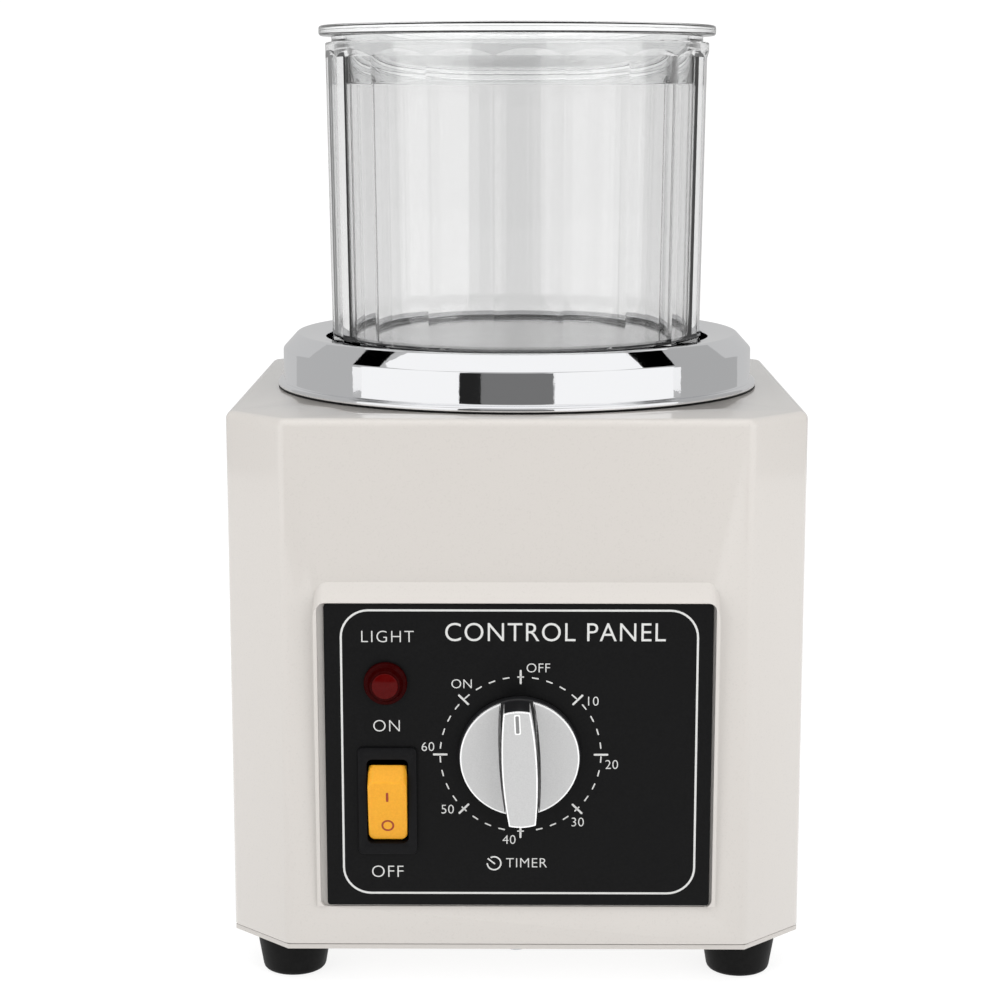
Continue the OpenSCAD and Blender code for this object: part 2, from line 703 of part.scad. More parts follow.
module cord_gland() color([0.10, 0.10, 0.10]) on_rear(gland_x, gland_z) difference() {
    union() {
        translate([0, 0, -14]) cylinder(r = gland_r, h = 14.1);
        cylinder(r = 10, h = 3, $fn = 6);
        translate([0, 0, 3]) cylinder(r1 = 8.2, r2 = 6, h = 9);
    }
    translate([0, 0, -15]) cylinder(r = gland_bore_r, h = 30);
}

module gland_nut() color([0.10, 0.10, 0.10]) on_rear(gland_x, gland_z)
    translate([0, 0, -sheet_t - 4]) hex_nut(10, gland_r, 4);

module fuse_holder() color([0.10, 0.10, 0.10]) on_rear(fuse_x, fuse_z) difference() {
    union() {
        translate([0, 0, -34]) cylinder(r = fuse_barrel_r, h = 34.1);
        cylinder(r = 8.6, h = 2);
    }
    translate([0, 0, -31]) cylinder(r = 4.4, h = 40);
}

// Screw-in cap: a knurled head outside and a nose that grips the fuse
module fuse_cap() color([0.12, 0.12, 0.12]) on_rear(fuse_x, fuse_z) difference() {
    union() {
        translate([0, 0, 2.1]) cylinder(r = 7, h = 8);
        translate([0, 0, -8]) cylinder(r = 4.1, h = 10.2);
    }
    translate([-5, -0.6, 9]) cube([10, 1.2, 2]);
    translate([0, 0, -9]) cylinder(r = 2.6, h = 6);
    around(24, 7.2) translate([0, 0, 3]) cylinder(r = 0.45, h = 8, $fn = 16);
}

module fuse() color([0.8, 0.8, 0.8]) on_rear(fuse_x, fuse_z)
    translate([0, 0, -23]) cylinder(r = 2.6, h = 20);

module run_capacitor() color([0.85, 0.85, 0.82])
    translate([-bracket_x, bracket_y, floor_z + clip_t + capacitor_h / 2])
        cube([17, capacitor_l, capacitor_h], center = true);

module capacitor_clip() color("silver") translate([-bracket_x, bracket_y, floor_z]) difference() {
    union() {
        translate([-6, -clip_screw_y - 5, 0]) cube([12, 2 * clip_screw_y + 10, clip_t]);
        for (s = [-1, 1]) translate([-6, s * (capacitor_l / 2 + 1) - 1, 0]) cube([12, 2, 24]);
    }
    for (s = [-1, 1]) translate([0, s * clip_screw_y, -over]) cylinder(r = 1.7, h = 4);
}

module terminal_block() color([0.92, 0.92, 0.88]) translate([bracket_x, bracket_y, floor_z])
    difference() {
        translate([-9, -22, 0]) cube([18, 44, block_h]);
        for (i = [-1.5:1:1.5], x = [-5, 5]) translate([x, i * 10, 8]) cylinder(r = 2.2, h = 10);
        for (s = [-1, 1]) translate([0, s * block_screw_y, -over]) cylinder(r = 1.7, h = 20);
    }

module bracket_screws() color("silver") for (s = [-1, 1]) {
    translate([-bracket_x, bracket_y + s * clip_screw_y, floor_z + clip_t])
        screw(clip_t + 3, r = 1.5, head_r = 3);
    translate([bracket_x, bracket_y + s * block_screw_y, floor_z + block_h])
        screw(block_h + 3, r = 1.5, head_r = 2.8);
}

module earth_screw() color([0.85, 0.70, 0.40]) translate([bracket_x, earth_y, floor_z]) screw(5);

// Wire swept along its points, with an eight-sided section
module wire(points, r = 1.1) {
    sides = 8;
    last = len(points) - 1;
    steps = [for (i = [0:last - 1]) (points[i + 1] - points[i]) / norm(points[i + 1] - points[i])];
    along = [for (i = [0:last]) steps[max(i - 1, 0)] + steps[min(i, last - 1)]];
    rings = [
        for (i = [0:last])
            let (
                t = along[i] / norm(along[i]),
                u = cross(t, [0.31, 0.52, 0.80]) / norm(cross(t, [0.31, 0.52, 0.80])),
                v = cross(t, u)
            )
            for (k = [0:sides - 1]) points[i] + r * (cos(k * 45) * u + sin(k * 45) * v)
    ];
    polyhedron(rings, concat(
        [[for (k = [0:sides - 1]) k]],
        [for (i = [0:last - 1], k = [0:sides - 1])
            let (a = i * sides, n = (k + 1) % sides) [a + n, a + k, a + sides + k]],
        [for (i = [0:last - 1], k = [0:sides - 1])
            let (a = i * sides, n = (k + 1) % sides) [a + n, a + sides + k, a + sides + n]],
        [[for (k = [sides - 1:-1:0]) last * sides + k]]
    ));
}

// Wires from the terminal block to the timer, from the timer to the switch, and to the lamp
module wiring() color([0.60, 0.10, 0.10]) {
    wire([[67, 15, 32], [67, 4, 38], [66, -30, 40], [50, -52, 40], [20, -60, 44], [13.1, -55, 58],
        [13.1, -51, 72], [13.1, -51.4, 77]]);
    wire([[-11, -51.4, 77], [-11, -50, 66], [-16, -50, 54], [-28, -52, 48], [-36.6, -55, 50],
        [-36.6, -61, 51]]);
    wire([[-45, -61, 61], [-52, -54, 66], [-54, -52, 84], [-50, -55, 96], [-43.5, -61, 101]]);
}

casing();
base_plate();
base_screws();
foot(-1, -1);  // foot_front_left
foot(1, -1);  // foot_front_right
foot(-1, 1);  // foot_rear_left
foot(1, 1);  // foot_rear_right
foot_screws();
foot_nuts();
bowl_ring();
ring_screws();
seat_dish();
seat_screws();
seat_nuts();
bowl();
lid();
control_panel();
panel_nuts();
switch_housing();
switch_rocker();
switch_terminals();
lamp_lens();
lamp_body();
lamp_nut();
lamp_terminals();
timer_body();
timer_screws();
timer_terminals();
timer_shaft();
knob_body();
knob_trim();
motor_plate();
motor_posts();
post_screws();
plate_screws();
motor_frame();
motor_screws();
stator_core();
stator_coils();
bearing(plate_z - bearing_h);  // upper_bearing
bearing(motor_z);  // lower_bearing
motor_shaft();
rotor_core();
cooling_fan();
fan_screw();
magnet_disc();
magnets();
disc_screw();
cord_gland();
gland_nut();
fuse_holder();
fuse_cap();
fuse();
run_capacitor();
capacitor_clip();
terminal_block();
bracket_screws();
earth_screw();
wiring();
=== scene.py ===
import json
import math

import bpy
from mathutils import Matrix, Vector


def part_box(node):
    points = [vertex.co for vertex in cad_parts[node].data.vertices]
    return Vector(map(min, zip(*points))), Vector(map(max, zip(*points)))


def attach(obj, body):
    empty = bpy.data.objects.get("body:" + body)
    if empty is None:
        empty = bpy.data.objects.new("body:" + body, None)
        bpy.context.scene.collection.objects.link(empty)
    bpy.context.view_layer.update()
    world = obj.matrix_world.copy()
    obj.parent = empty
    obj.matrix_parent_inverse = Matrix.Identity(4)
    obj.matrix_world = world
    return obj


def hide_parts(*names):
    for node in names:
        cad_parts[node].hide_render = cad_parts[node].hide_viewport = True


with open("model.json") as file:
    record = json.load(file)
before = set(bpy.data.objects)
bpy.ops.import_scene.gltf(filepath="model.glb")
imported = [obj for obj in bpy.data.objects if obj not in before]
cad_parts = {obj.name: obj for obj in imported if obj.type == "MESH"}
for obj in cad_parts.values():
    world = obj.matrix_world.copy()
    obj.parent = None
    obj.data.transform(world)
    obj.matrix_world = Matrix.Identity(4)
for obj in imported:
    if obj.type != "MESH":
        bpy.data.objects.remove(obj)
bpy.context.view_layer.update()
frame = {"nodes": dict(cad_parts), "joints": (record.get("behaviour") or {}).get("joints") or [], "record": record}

# Lengths in this script are millimetres, and the helpers turn them into metres.
MM = 0.001

# ---------------------------------------------------------------- working tools


def box_mm(node):
    """Lowest and highest corner of a CAD node."""
    low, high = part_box(node)
    return low / MM, high / MM


def middle(node):
    low, high = box_mm(node)
    return (low + high) / 2


def make_active(piece):
    bpy.ops.object.select_all(action="DESELECT")
    piece.select_set(True)
    bpy.context.view_layer.objects.active = piece


def edit(piece, kind="VERT"):
    make_active(piece)
    bpy.ops.object.mode_set(mode="EDIT")
    bpy.ops.mesh.select_mode(type=kind)


def leave_edit():
    bpy.ops.object.mode_set(mode="OBJECT")


def pick_faces(piece, test):
    """Opens a piece in edit mode with the faces selected whose middle and normal pass the test."""
    edit(piece, "FACE")
    bpy.ops.mesh.select_all(action="DESELECT")
    leave_edit()
    for face in piece.data.polygons:
        face.select = test(face.center / MM, face.normal)
    bpy.ops.object.mode_set(mode="EDIT")


def pick_edges(piece, test):
    """Opens a piece in edit mode with the edges selected whose two ends pass the test."""
    edit(piece, "EDGE")
    bpy.ops.mesh.select_all(action="DESELECT")
    leave_edit()
    points = [v.co / MM for v in piece.data.vertices]
    for line in piece.data.edges:
        a, b = line.vertices
        line.select = test(points[a], points[b])
    bpy.ops.object.mode_set(mode="EDIT")


def bevel_picked(width, segments):
    bpy.ops.mesh.bevel(offset=width * MM, segments=segments, affect="EDGES")
    leave_edit()


def block(name, low, high):
    """A cuboid between two corners, to be shaped further."""
    low, high = Vector(low) * MM, Vector(high) * MM
    bpy.ops.mesh.primitive_cube_add(size=1, location=(low + high) / 2)
    piece = bpy.context.object
    piece.name = piece.data.name = name
    piece.scale = high - low
    bpy.ops.object.transform_apply(location=True, rotation=True, scale=True)
    return piece


def drum(name, radius, low, high, at=(0, 0), sides=96):
    """An upright cylinder, to be shaped further or to cut with."""
    bpy.ops.mesh.primitive_cylinder_add(
        vertices=sides, radius=radius * MM, depth=(high - low) * MM,
        location=(at[0] * MM, at[1] * MM, (low + high) / 2 * MM))
    piece = bpy.context.object
    piece.name = piece.data.name = name
    bpy.ops.object.transform_apply(location=True, rotation=True, scale=True)
    return piece


def rounded(corners, steps=5, closed=True):
    """Points of an outline whose corners (x, y, radius) are turned into arcs."""
    points = []
    count = len(corners)
    for i, (x, y, radius) in enumerate(corners):
        corner = Vector((x, y))
        ends = not closed and i in (0, count - 1)
        if radius == 0 or ends:
            points.append(corner)
            continue
        back = (Vector(corners[i - 1][:2]) - corner).normalized()
        ahead = (Vector(corners[(i + 1) % count][:2]) - corner).normalized()
        half = back.angle(ahead) / 2
        centre = corner + (back + ahead).normalized() * radius / math.sin(half)
        start = corner + back * radius / math.tan(half) - centre
        sweep = start.angle_signed(corner + ahead * radius / math.tan(half) - centre)
        for k in range(steps + 1):
            turn = -sweep * k / steps
            spoke = Matrix.Rotation(turn, 2) @ start
            points.append(centre + spoke)
    return points


def rounded_rect(width, height, radius, at=(0, 0), steps=6):
    x, y = width / 2, height / 2
    corners = [(-x, -y), (x, -y), (x, y), (-x, y)]
    return rounded([(at[0] + a, at[1] + b, radius) for a, b in corners], steps)


def trace(name, points, closed=True):
    """A string of edges through the points, drawn by extruding one vertex to each in turn."""
    points = [Vector(p) * MM for p in points]
    bpy.ops.mesh.primitive_plane_add(size=1)
    piece = bpy.context.object
    piece.name = piece.data.name = name
    edit(piece)
    bpy.ops.mesh.select_all(action="SELECT")
    bpy.ops.mesh.merge(type="CENTER")
    bpy.ops.transform.translate(value=points[0])
    if closed:
        points.append(points[0])
    for a, b in zip(points, points[1:]):
        bpy.ops.mesh.extrude_region_move(TRANSFORM_OT_translate={"value": b - a})
    bpy.ops.mesh.select_all(action="SELECT")
    if closed:
        bpy.ops.mesh.remove_doubles(threshold=1e-7)
    return piece


def lathe(name, outline, steps=128, closed=True):
    """A turned piece: an outline of (radius, height) points spun round the upright axis."""
    piece = trace(name, [(r, 0, z) for r, z in outline], closed)
    bpy.ops.mesh.spin(steps=steps, angle=2 * math.pi, center=(0, 0, 0), axis=(0, 0, 1))
    bpy.ops.mesh.select_all(action="SELECT")
    bpy.ops.mesh.remove_doubles(threshold=1e-6)
    bpy.ops.mesh.normals_make_consistent(inside=False)
    leave_edit()
    return piece


def slab(name, outline, low, high):
    """A flat outline filled and drawn up from one height to another."""
    piece = trace(name, [(x, y, low) for x, y in outline])
    bpy.ops.mesh.edge_face_add()
    bpy.ops.mesh.extrude_region_move(
        TRANSFORM_OT_translate={"value": (0, 0, (high - low) * MM)})
    bpy.ops.mesh.select_all(action="SELECT")
    bpy.ops.mesh.normals_make_consistent(inside=False)
    leave_edit()
    return piece


def join(pieces, name):
    make_active(pieces[0])
    for piece in pieces:
        piece.select_set(True)
    bpy.ops.object.join()
    whole = bpy.context.object
    whole.name = whole.data.name = name
    return whole


def apply_modifier(piece, kind, **settings):
    make_active(piece)
    bpy.ops.object.modifier_add(type=kind)
    modifier = piece.modifiers[-1]
    for key, value in settings.items():
        setattr(modifier, key, value)
    bpy.ops.object.modifier_apply(modifier=modifier.name)


def combine(piece, tool, operation):
    apply_modifier(piece, "BOOLEAN", operation=operation, solver="EXACT", object=tool)
    bpy.data.objects.remove(tool)


def soften(piece, width, segments=2, angle=30):
    """Rounds every edge that turns by more than the angle."""
    apply_modifier(piece, "BEVEL", width=width * MM, segments=segments,
                   limit_method="ANGLE", angle_limit=math.radians(angle))


def place(piece, matrix):
    """Moves a piece made round the origin to where it belongs, with its place in its mesh."""
    make_active(piece)
    piece.matrix_world = matrix
    bpy.ops.object.transform_apply(location=True, rotation=True, scale=True)
    return piece


def finish_piece(piece, material, body, replaces=(), smooth=30):
    """Shades a piece, gives it its material and says what it rides on and stands for."""
    make_active(piece)
    bpy.ops.object.shade_smooth_by_angle(angle=math.radians(smooth))
    piece.data.materials.clear()
    piece.data.materials.append(material)
    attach(piece, body)
    if replaces:
        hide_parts(*replaces)
    return piece


# ---------------------------------------------------------------- places on the object

joints = {joint["name"]: joint for joint in frame["joints"]}


def frame_at(point, out):
    """A frame with X to the right, Y up the face and Z out of it."""
    out = out.normalized()
    up = out.cross(Vector((1, 0, 0)))
    turn = Matrix((Vector((1, 0, 0)), up, out)).transposed().to_4x4()
    return Matrix.Translation(point) @ turn


# The panel's frame has its origin on the face, at the middle of the timer's dial.
timer = joints["timer_turn"]
PANEL = frame_at(Vector(timer["pos_m"]), -Vector(timer["axis"]))


def on_panel(node):
    """Middle of a CAD node, measured across and up the panel from the dial's middle."""
    point = PANEL.inverted() @ (middle(node) * MM) / MM
    return point.x, point.y


WIDTH = box_mm("casing")[1].x * 2
FRONT = -WIDTH / 2
BASE_Z, FLOOR_Z = box_mm("base_plate")[0].z, box_mm("base_plate")[1].z
TOP_Z = box_mm("casing")[1].z
SEAT_Z = box_mm("bowl")[0].z
RIM_Z = box_mm("bowl")[1].z

# ---------------------------------------------------------------- materials


def group_tree(name, inputs, outputs):
    """An empty shader node group with number inputs and number outputs."""
    tree = bpy.data.node_groups.new(name, "ShaderNodeTree")
    for label, value in inputs:
        socket = tree.interface.new_socket(label, in_out="INPUT", socket_type="NodeSocketFloat")
        socket.default_value = value
    for label in outputs:
        tree.interface.new_socket(label, in_out="OUTPUT", socket_type="NodeSocketFloat")
    return tree, tree.nodes.new("NodeGroupInput"), tree.nodes.new("NodeGroupOutput")


def object_noise(tree, detail=3.0, roughness=0.55, scale=None):
    """Noise over the piece's own coordinates."""
    where = tree.nodes.new("ShaderNodeTexCoord")
    noise = tree.nodes.new("ShaderNodeTexNoise")
    noise.inputs["Detail"].default_value = detail
    noise.inputs["Roughness"].default_value = roughness
    if scale is not None:
        noise.inputs["Scale"].default_value = scale
    tree.links.new(where.outputs["Object"], noise.inputs["Vector"])
    return noise


def math_node(tree, operation, a, b=None, clamp=False):
    node = tree.nodes.new("ShaderNodeMath")
    node.operation = operation
    node.use_clamp = clamp
    for socket, value in zip(node.inputs, (a, b)):
        if value is None:
            continue
        if isinstance(value, (int, float)):
            socket.default_value = value
        else:
            tree.links.new(value, socket)
    return node.outputs[0]


def spread(tree, value, low, high):
    """Stretches a value between two bounds to the range 0 to 1, or back for low above high."""
    node = tree.nodes.new("ShaderNodeMapRange")
    node.inputs["From Min"].default_value = low
    node.inputs["From Max"].default_value = high
    tree.links.new(value, node.inputs["Value"])
    return node.outputs["Result"]


def make_specks_group():
    """Sparse soft specks: 1 in a speck, 0 between them."""
    tree, given, result = group_tree("fine_specks", [("Scale", 900.0), ("Share", 0.35)], ["Mask"])
    noise = object_noise(tree, detail=1.5)
    tree.links.new(given.outputs["Scale"], noise.inputs["Scale"])
    under = math_node(tree, "SUBTRACT", given.outputs["Share"], noise.outputs["Fac"])
    mask = math_node(tree, "MULTIPLY", under, 14.0, clamp=True)
    tree.links.new(mask, result.inputs["Mask"])
    return tree


def make_grain_group():
    """Even grain: a height for a bump, and the same grain as a mask."""
    tree, given, result = group_tree("surface_grain", [("Scale", 600.0)], ["Height", "Mask"])
    fine = object_noise(tree, detail=4.0, roughness=0.6)
    tree.links.new(given.outputs["Scale"], fine.inputs["Scale"])
    tree.links.new(fine.outputs["Fac"], result.inputs["Height"])
    tree.links.new(spread(tree, fine.outputs["Fac"], 0.35, 0.65), result.inputs["Mask"])
    return tree


def make_handling_group():
    """Faint broad smudges and dust from handling, 0 to 1."""
    tree, given, result = group_tree("handling_marks", [("Scale", 35.0)], ["Mask"])
    broad = object_noise(tree, detail=5.0, roughness=0.65)
    tree.links.new(given.outputs["Scale"], broad.inputs["Scale"])
    fine = object_noise(tree, detail=2.0, scale=1200.0)
    smudge = spread(tree, broad.outputs["Fac"], 0.45, 0.75)
    tree.links.new(math_node(tree, "MULTIPLY", smudge, fine.outputs["Fac"]), result.inputs["Mask"])
    return tree


SPECKS = make_specks_group()
GRAIN = make_grain_group()
MARKS = make_handling_group()


def effect(tree, group, **values):
    node = tree.nodes.new("ShaderNodeGroup")
    node.node_tree = group
    for key, value in values.items():
        node.inputs[key].default_value = value
    return node


def blend_colour(tree, mask, base, other, amount=1.0):
    """Mixes from base to another colour where the mask is 1, by at most the amount."""
    mix = tree.nodes.new("ShaderNodeMix")
    mix.data_type = "RGBA"
    strength = math_node(tree, "MULTIPLY", mask, amount)
    tree.links.new(strength, mix.inputs["Factor"])
    for key, colour in (("A", base), ("B", other)):
        socket = next(s for s in mix.inputs if s.name == key and s.type == "RGBA")
        if isinstance(colour, tuple):
            socket.default_value = (*colour, 1.0)
        else:
            tree.links.new(colour, socket)
    return next(s for s in mix.outputs if s.type == "RGBA")


def roughen(tree, shader, base, amount, mask):
    value = math_node(tree, "MULTIPLY_ADD", mask, amount)
    value.node.inputs[2].default_value = base
    tree.links.new(value, shader.inputs["Roughness"])


def bump(tree, shader, height, strength, distance):
    node = tree.nodes.new("ShaderNodeBump")
    node.inputs["Strength"].default_value = strength
    node.inputs["Distance"].default_value = distance * MM
    tree.links.new(height, node.inputs["Height"])
    tree.links.new(node.outputs["Normal"], shader.inputs["Normal"])


def new_material(name, colour, **sockets):
    """A Principled material: its tree and its shader are handed back for the finish."""
    material = bpy.data.materials.new(name)
    material.use_nodes = True
    tree = material.node_tree
    shader = next(n for n in tree.nodes if n.type == "BSDF_PRINCIPLED")
    shader.inputs["Base Color"].default_value = (*colour, 1.0)
    for key, value in sockets.items():
        shader.inputs[key.replace("_", " ")].default_value = value
    return material, tree, shader


def enamel(name, colour, rough=0.30):
    """Sprayed and baked paint: faint darker specks, orange peel and a few smudges."""
    material, tree, shader = new_material(name, colour, Coat_Weight=0.8, Coat_Roughness=0.06)
    specks = effect(tree, SPECKS, Scale=1800.0, Share=0.40).outputs["Mask"]
    darker = tuple(c * 0.88 for c in colour)
    tree.links.new(blend_colour(tree, specks, colour, darker, 0.4), shader.inputs["Base Color"])
    roughen(tree, shader, rough, 0.03, effect(tree, MARKS, Scale=30.0).outputs["Mask"])
    bump(tree, shader, effect(tree, GRAIN, Scale=900.0).outputs["Height"], 0.05, 0.06)
    return material


def plating(name, colour, rough):
    """Bright plated metal, with the slight waviness of a thin pressing."""
    material, tree, shader = new_material(name, colour, Metallic=1.0)
    roughen(tree, shader, rough, 0.07, effect(tree, MARKS, Scale=45.0).outputs["Mask"])
    bump(tree, shader, effect(tree, GRAIN, Scale=160.0).outputs["Height"], 0.04, 0.4)
    return material


def moulding(name, colour, rough, grain_scale=900.0, grain=0.12, depth=0.06, **sockets):
    """Moulded plastic or rubber with a fine texture from its mould."""
    material, tree, shader = new_material(name, colour, **sockets)
    texture = effect(tree, GRAIN, Scale=grain_scale)
    lighter = tuple(min(1.0, c * 1.25 + 0.004) for c in colour)
    tree.links.new(blend_colour(tree, texture.outputs["Mask"], colour, lighter, 0.35),
                   shader.inputs["Base Color"])
    roughen(tree, shader, rough, 0.18, effect(tree, MARKS, Scale=60.0).outputs["Mask"])
    bump(tree, shader, texture.outputs["Height"], grain, depth)
    return material


def clear_plastic(name, colour):
    """Clear polished plastic with faint scuffs and a few specks of dust in it."""
    material, tree, shader = new_material(name, colour, Transmission_Weight=1.0, IOR=1.49)
    scuffs = effect(tree, MARKS, Scale=25.0).outputs["Mask"]
    roughen(tree, shader, 0.012, 0.012, scuffs)
    dust = effect(tree, SPECKS, Scale=420.0, Share=0.22).outputs["Mask"]
    grey = tuple(c * 0.75 for c in colour)
    tree.links.new(blend_colour(tree, dust, colour, grey, 0.5), shader.inputs["Base Color"])
    bump(tree, shader, effect(tree, GRAIN, Scale=60.0).outputs["Height"], 0.006, 0.5)
    return material


def brushed(name, colour, rough, along=(1.0, 1.0, 14.0)):
    """Metal with a drawn or brushed grain: noise stretched across the grain's direction."""
    material, tree, shader = new_material(name, colour, Metallic=1.0)
    where = tree.nodes.new("ShaderNodeTexCoord")
    stretch = tree.nodes.new("ShaderNodeMapping")
    stretch.inputs["Scale"].default_value = along
    noise = tree.nodes.new("ShaderNodeTexNoise")
    noise.inputs["Scale"].default_value = 300.0
    noise.inputs["Detail"].default_value = 5.0
    tree.links.new(where.outputs["Object"], stretch.inputs["Vector"])
    tree.links.new(stretch.outputs["Vector"], noise.inputs["Vector"])
    grain = spread(tree, noise.outputs["Fac"], 0.3, 0.7)
    darker = tuple(c * 0.82 for c in colour)
    tree.links.new(blend_colour(tree, grain, darker, colour), shader.inputs["Base Color"])
    roughen(tree, shader, rough, 0.15, grain)
    bump(tree, shader, noise.outputs["Fac"], 0.15, 0.05)
    return material


# Steps of noise in a metre of radius: how fine the turned rings are
RING_SCALE = 1100.0


def turned(name, colour, rough):
    """Metal faced on a lathe: fine rings about the upright axis."""
    material, tree, shader = new_material(name, colour, Metallic=1.0)
    where = tree.nodes.new("ShaderNodeTexCoord")
    parts = tree.nodes.new("ShaderNodeSeparateXYZ")
    tree.links.new(where.outputs["Object"], parts.inputs["Vector"])
    x2 = math_node(tree, "MULTIPLY", parts.outputs["X"], parts.outputs["X"])
    y2 = math_node(tree, "MULTIPLY", parts.outputs["Y"], parts.outputs["Y"])
    radius = math_node(tree, "SQRT", math_node(tree, "ADD", x2, y2))
    rings = tree.nodes.new("ShaderNodeTexNoise")
    rings.noise_dimensions = "1D"
    rings.inputs["Scale"].default_value = 1.0
    rings.inputs["Detail"].default_value = 4.0
    tree.links.new(math_node(tree, "MULTIPLY", radius, RING_SCALE), rings.inputs["W"])
    grain = spread(tree, rings.outputs["Fac"], 0.3, 0.7)
    tree.links.new(blend_colour(tree, grain, tuple(c * 0.8 for c in colour), colour),
                   shader.inputs["Base Color"])
    roughen(tree, shader, rough, 0.12, grain)
    bump(tree, shader, rings.outputs["Fac"], 0.2, 0.04)
    return material


casing_enamel = enamel("casing_enamel", (0.506, 0.480, 0.453))
plate_enamel = enamel("plate_enamel", (0.46, 0.435, 0.41), rough=0.4)
foot_rubber = moulding("foot_rubber", (0.003, 0.003, 0.003), 0.5, 700.0, 0.3, 0.12,
                       Specular_IOR_Level=0.10)
ring_chrome = plating("ring_chrome", (0.88, 0.885, 0.90), 0.025)
bowl_plastic = clear_plastic("bowl_plastic", (0.80, 0.80, 0.80))
lid_plastic = clear_plastic("lid_plastic", (0.93, 0.935, 0.935))
panel_black = moulding("panel_black", (0.0030, 0.0030, 0.0032), 0.42, 1300.0, 0.10, 0.04,
                       Specular_IOR_Level=0.10)
panel_silver = moulding("panel_silver", (0.52, 0.52, 0.51), 0.5, 1500.0, 0.08, 0.02)
black_plastic = moulding("black_plastic", (0.004, 0.004, 0.0045), 0.35, 1100.0, 0.15, 0.05,
                         Specular_IOR_Level=0.1)
knob_black = moulding("knob_black", (0.010, 0.010, 0.011), 0.34, 1200.0, 0.12, 0.04,
                      Specular_IOR_Level=0.4)
rocker_amber = moulding("rocker_amber", (0.66, 0.305, 0.018), 0.38, 1400.0, 0.06, 0.03,
                        Subsurface_Weight=0.15, Subsurface_Scale=0.002, Specular_IOR_Level=0.25)
rocker_mark = moulding("rocker_mark", (0.25, 0.020, 0.0), 0.45, 1500.0, 0.05, 0.02)
lamp_red = moulding("lamp_red", (0.020, 0.0, 0.0), 0.16, 500.0, 0.03, 0.03, Specular_IOR_Level=0.03)
lamp_dome = moulding("lamp_dome", (0.060, 0.0, 0.0), 0.12, 500.0, 0.03, 0.03,
                     Specular_IOR_Level=0.1)
knob_satin = moulding("knob_satin", (0.49, 0.49, 0.49), 0.36, 2200.0, 0.16, 0.03, Metallic=0.5)
knob_side = moulding("knob_side", (0.50, 0.50, 0.50), 0.40, 2200.0, 0.16, 0.03, Metallic=0.2)
# Grey fill of the pointer's slot: painted shade for the slot's depth, as no groove is cut.
knob_slot_shade = moulding("knob_slot_shade", (0.16, 0.16, 0.16), 0.45, 2200.0, 0.10, 0.03)
# White strips on the knob's chamfered edges: a painted highlight standing for the light those edges catch.
knob_edge_highlight = moulding("knob_edge_highlight", (0.86, 0.86, 0.86), 0.25, 2000.0, 0.06, 0.02, Metallic=0.3)
zinc_steel = brushed("zinc_steel", (0.62, 0.63, 0.65), 0.28)
bare_steel = brushed("bare_steel", (0.50, 0.50, 0.52), 0.30)
# The seat dish's dark grey is painted shade: the turned aluminium is darkened to the grey it shows in the shade
# under the bowl and inside the ring.
dish_aluminium = turned("dish_aluminium", (0.20, 0.20, 0.205), 0.36)

SLOT_MATERIALS = {
    "casing_enamel": casing_enamel,
    "plate_enamel": plate_enamel,
    "foot_rubber": foot_rubber,
    "ring_chrome": ring_chrome,
    "clear_plastic": bowl_plastic,
    "panel_black": panel_black,
    "black_plastic": black_plastic,
    "rocker_amber": rocker_amber,
    "lamp_red": lamp_red,
    "knob_silver": knob_satin,
    "zinc_steel": zinc_steel,
    "bare_steel": bare_steel,
    "core_steel": brushed("core_steel", (0.22, 0.22, 0.235), 0.45, along=(1.0, 1.0, 30.0)),
    "frame_paint": enamel("frame_paint", (0.045, 0.048, 0.055), rough=0.35),
    "dish_aluminium": dish_aluminium,
    "copper_wire": brushed("copper_wire", (0.50, 0.16, 0.05), 0.30, along=(1.0, 1.0, 8.0)),
    "bronze": brushed("bronze", (0.50, 0.32, 0.12), 0.35),
    "terminal_brass": brushed("terminal_brass", (0.70, 0.50, 0.20), 0.25),
    "magnet_nickel": plating("magnet_nickel", (0.62, 0.61, 0.60), 0.10),
    "white_plastic": moulding("white_plastic", (0.72, 0.71, 0.66), 0.40),
    "fuse_glass": clear_plastic("fuse_glass", (0.95, 0.97, 0.98)),
    "wire_red": moulding("wire_red", (0.35, 0.015, 0.012), 0.40),
}

slot_of = {part["node"]: part["material_slot"] for part in frame["record"]["subparts"]}
for name, node in frame["nodes"].items():
    node.data.materials.clear()
    node.data.materials.append(SLOT_MATERIALS[slot_of[name]])

# ---------------------------------------------------------------- casing

CORNER_CUT = 19.0
CORNER_BEND = 1.5
TOP_BEND = 2.6
SHEET = 1.2
BASE_GAP = 0.3
OPENING_R = 61
GLAND_R = 6.4
FUSE_HOLDER_R = 6.3
HOOD_HALF = 63.7
HOOD_TOP = TOP_Z - 51.5
HOOD_RIM = TOP_Z - 57.0
HOOD_BOTTOM = TOP_Z - 157.4
HOOD_FRONT = box_mm("casing")[0].y
RECESS = (125.0, 100.4)
WINDOW = (106.0, 84.0)
PANEL_MIDDLE = on_panel("control_panel")
PANEL_T = 1.5


def casing_blank():
    """Box with its upright corners cut and its bends rounded."""
    w = WIDTH / 2
    blank = block("casing_shell", (-w, -w, FLOOR_Z + BASE_GAP), (w, w, TOP_Z))
    pick_edges(blank, lambda a, b: abs(a.z - b.z) > 1)
    bevel_picked(CORNER_CUT, 1)
    pick_edges(blank, lambda a, b: abs(a.z - b.z) > 1)
    bevel_picked(CORNER_BEND, 4)
    pick_edges(blank, lambda a, b: a.z > TOP_Z - 0.1 and b.z > TOP_Z - 0.1)
    bevel_picked(TOP_BEND, 6)
    return blank


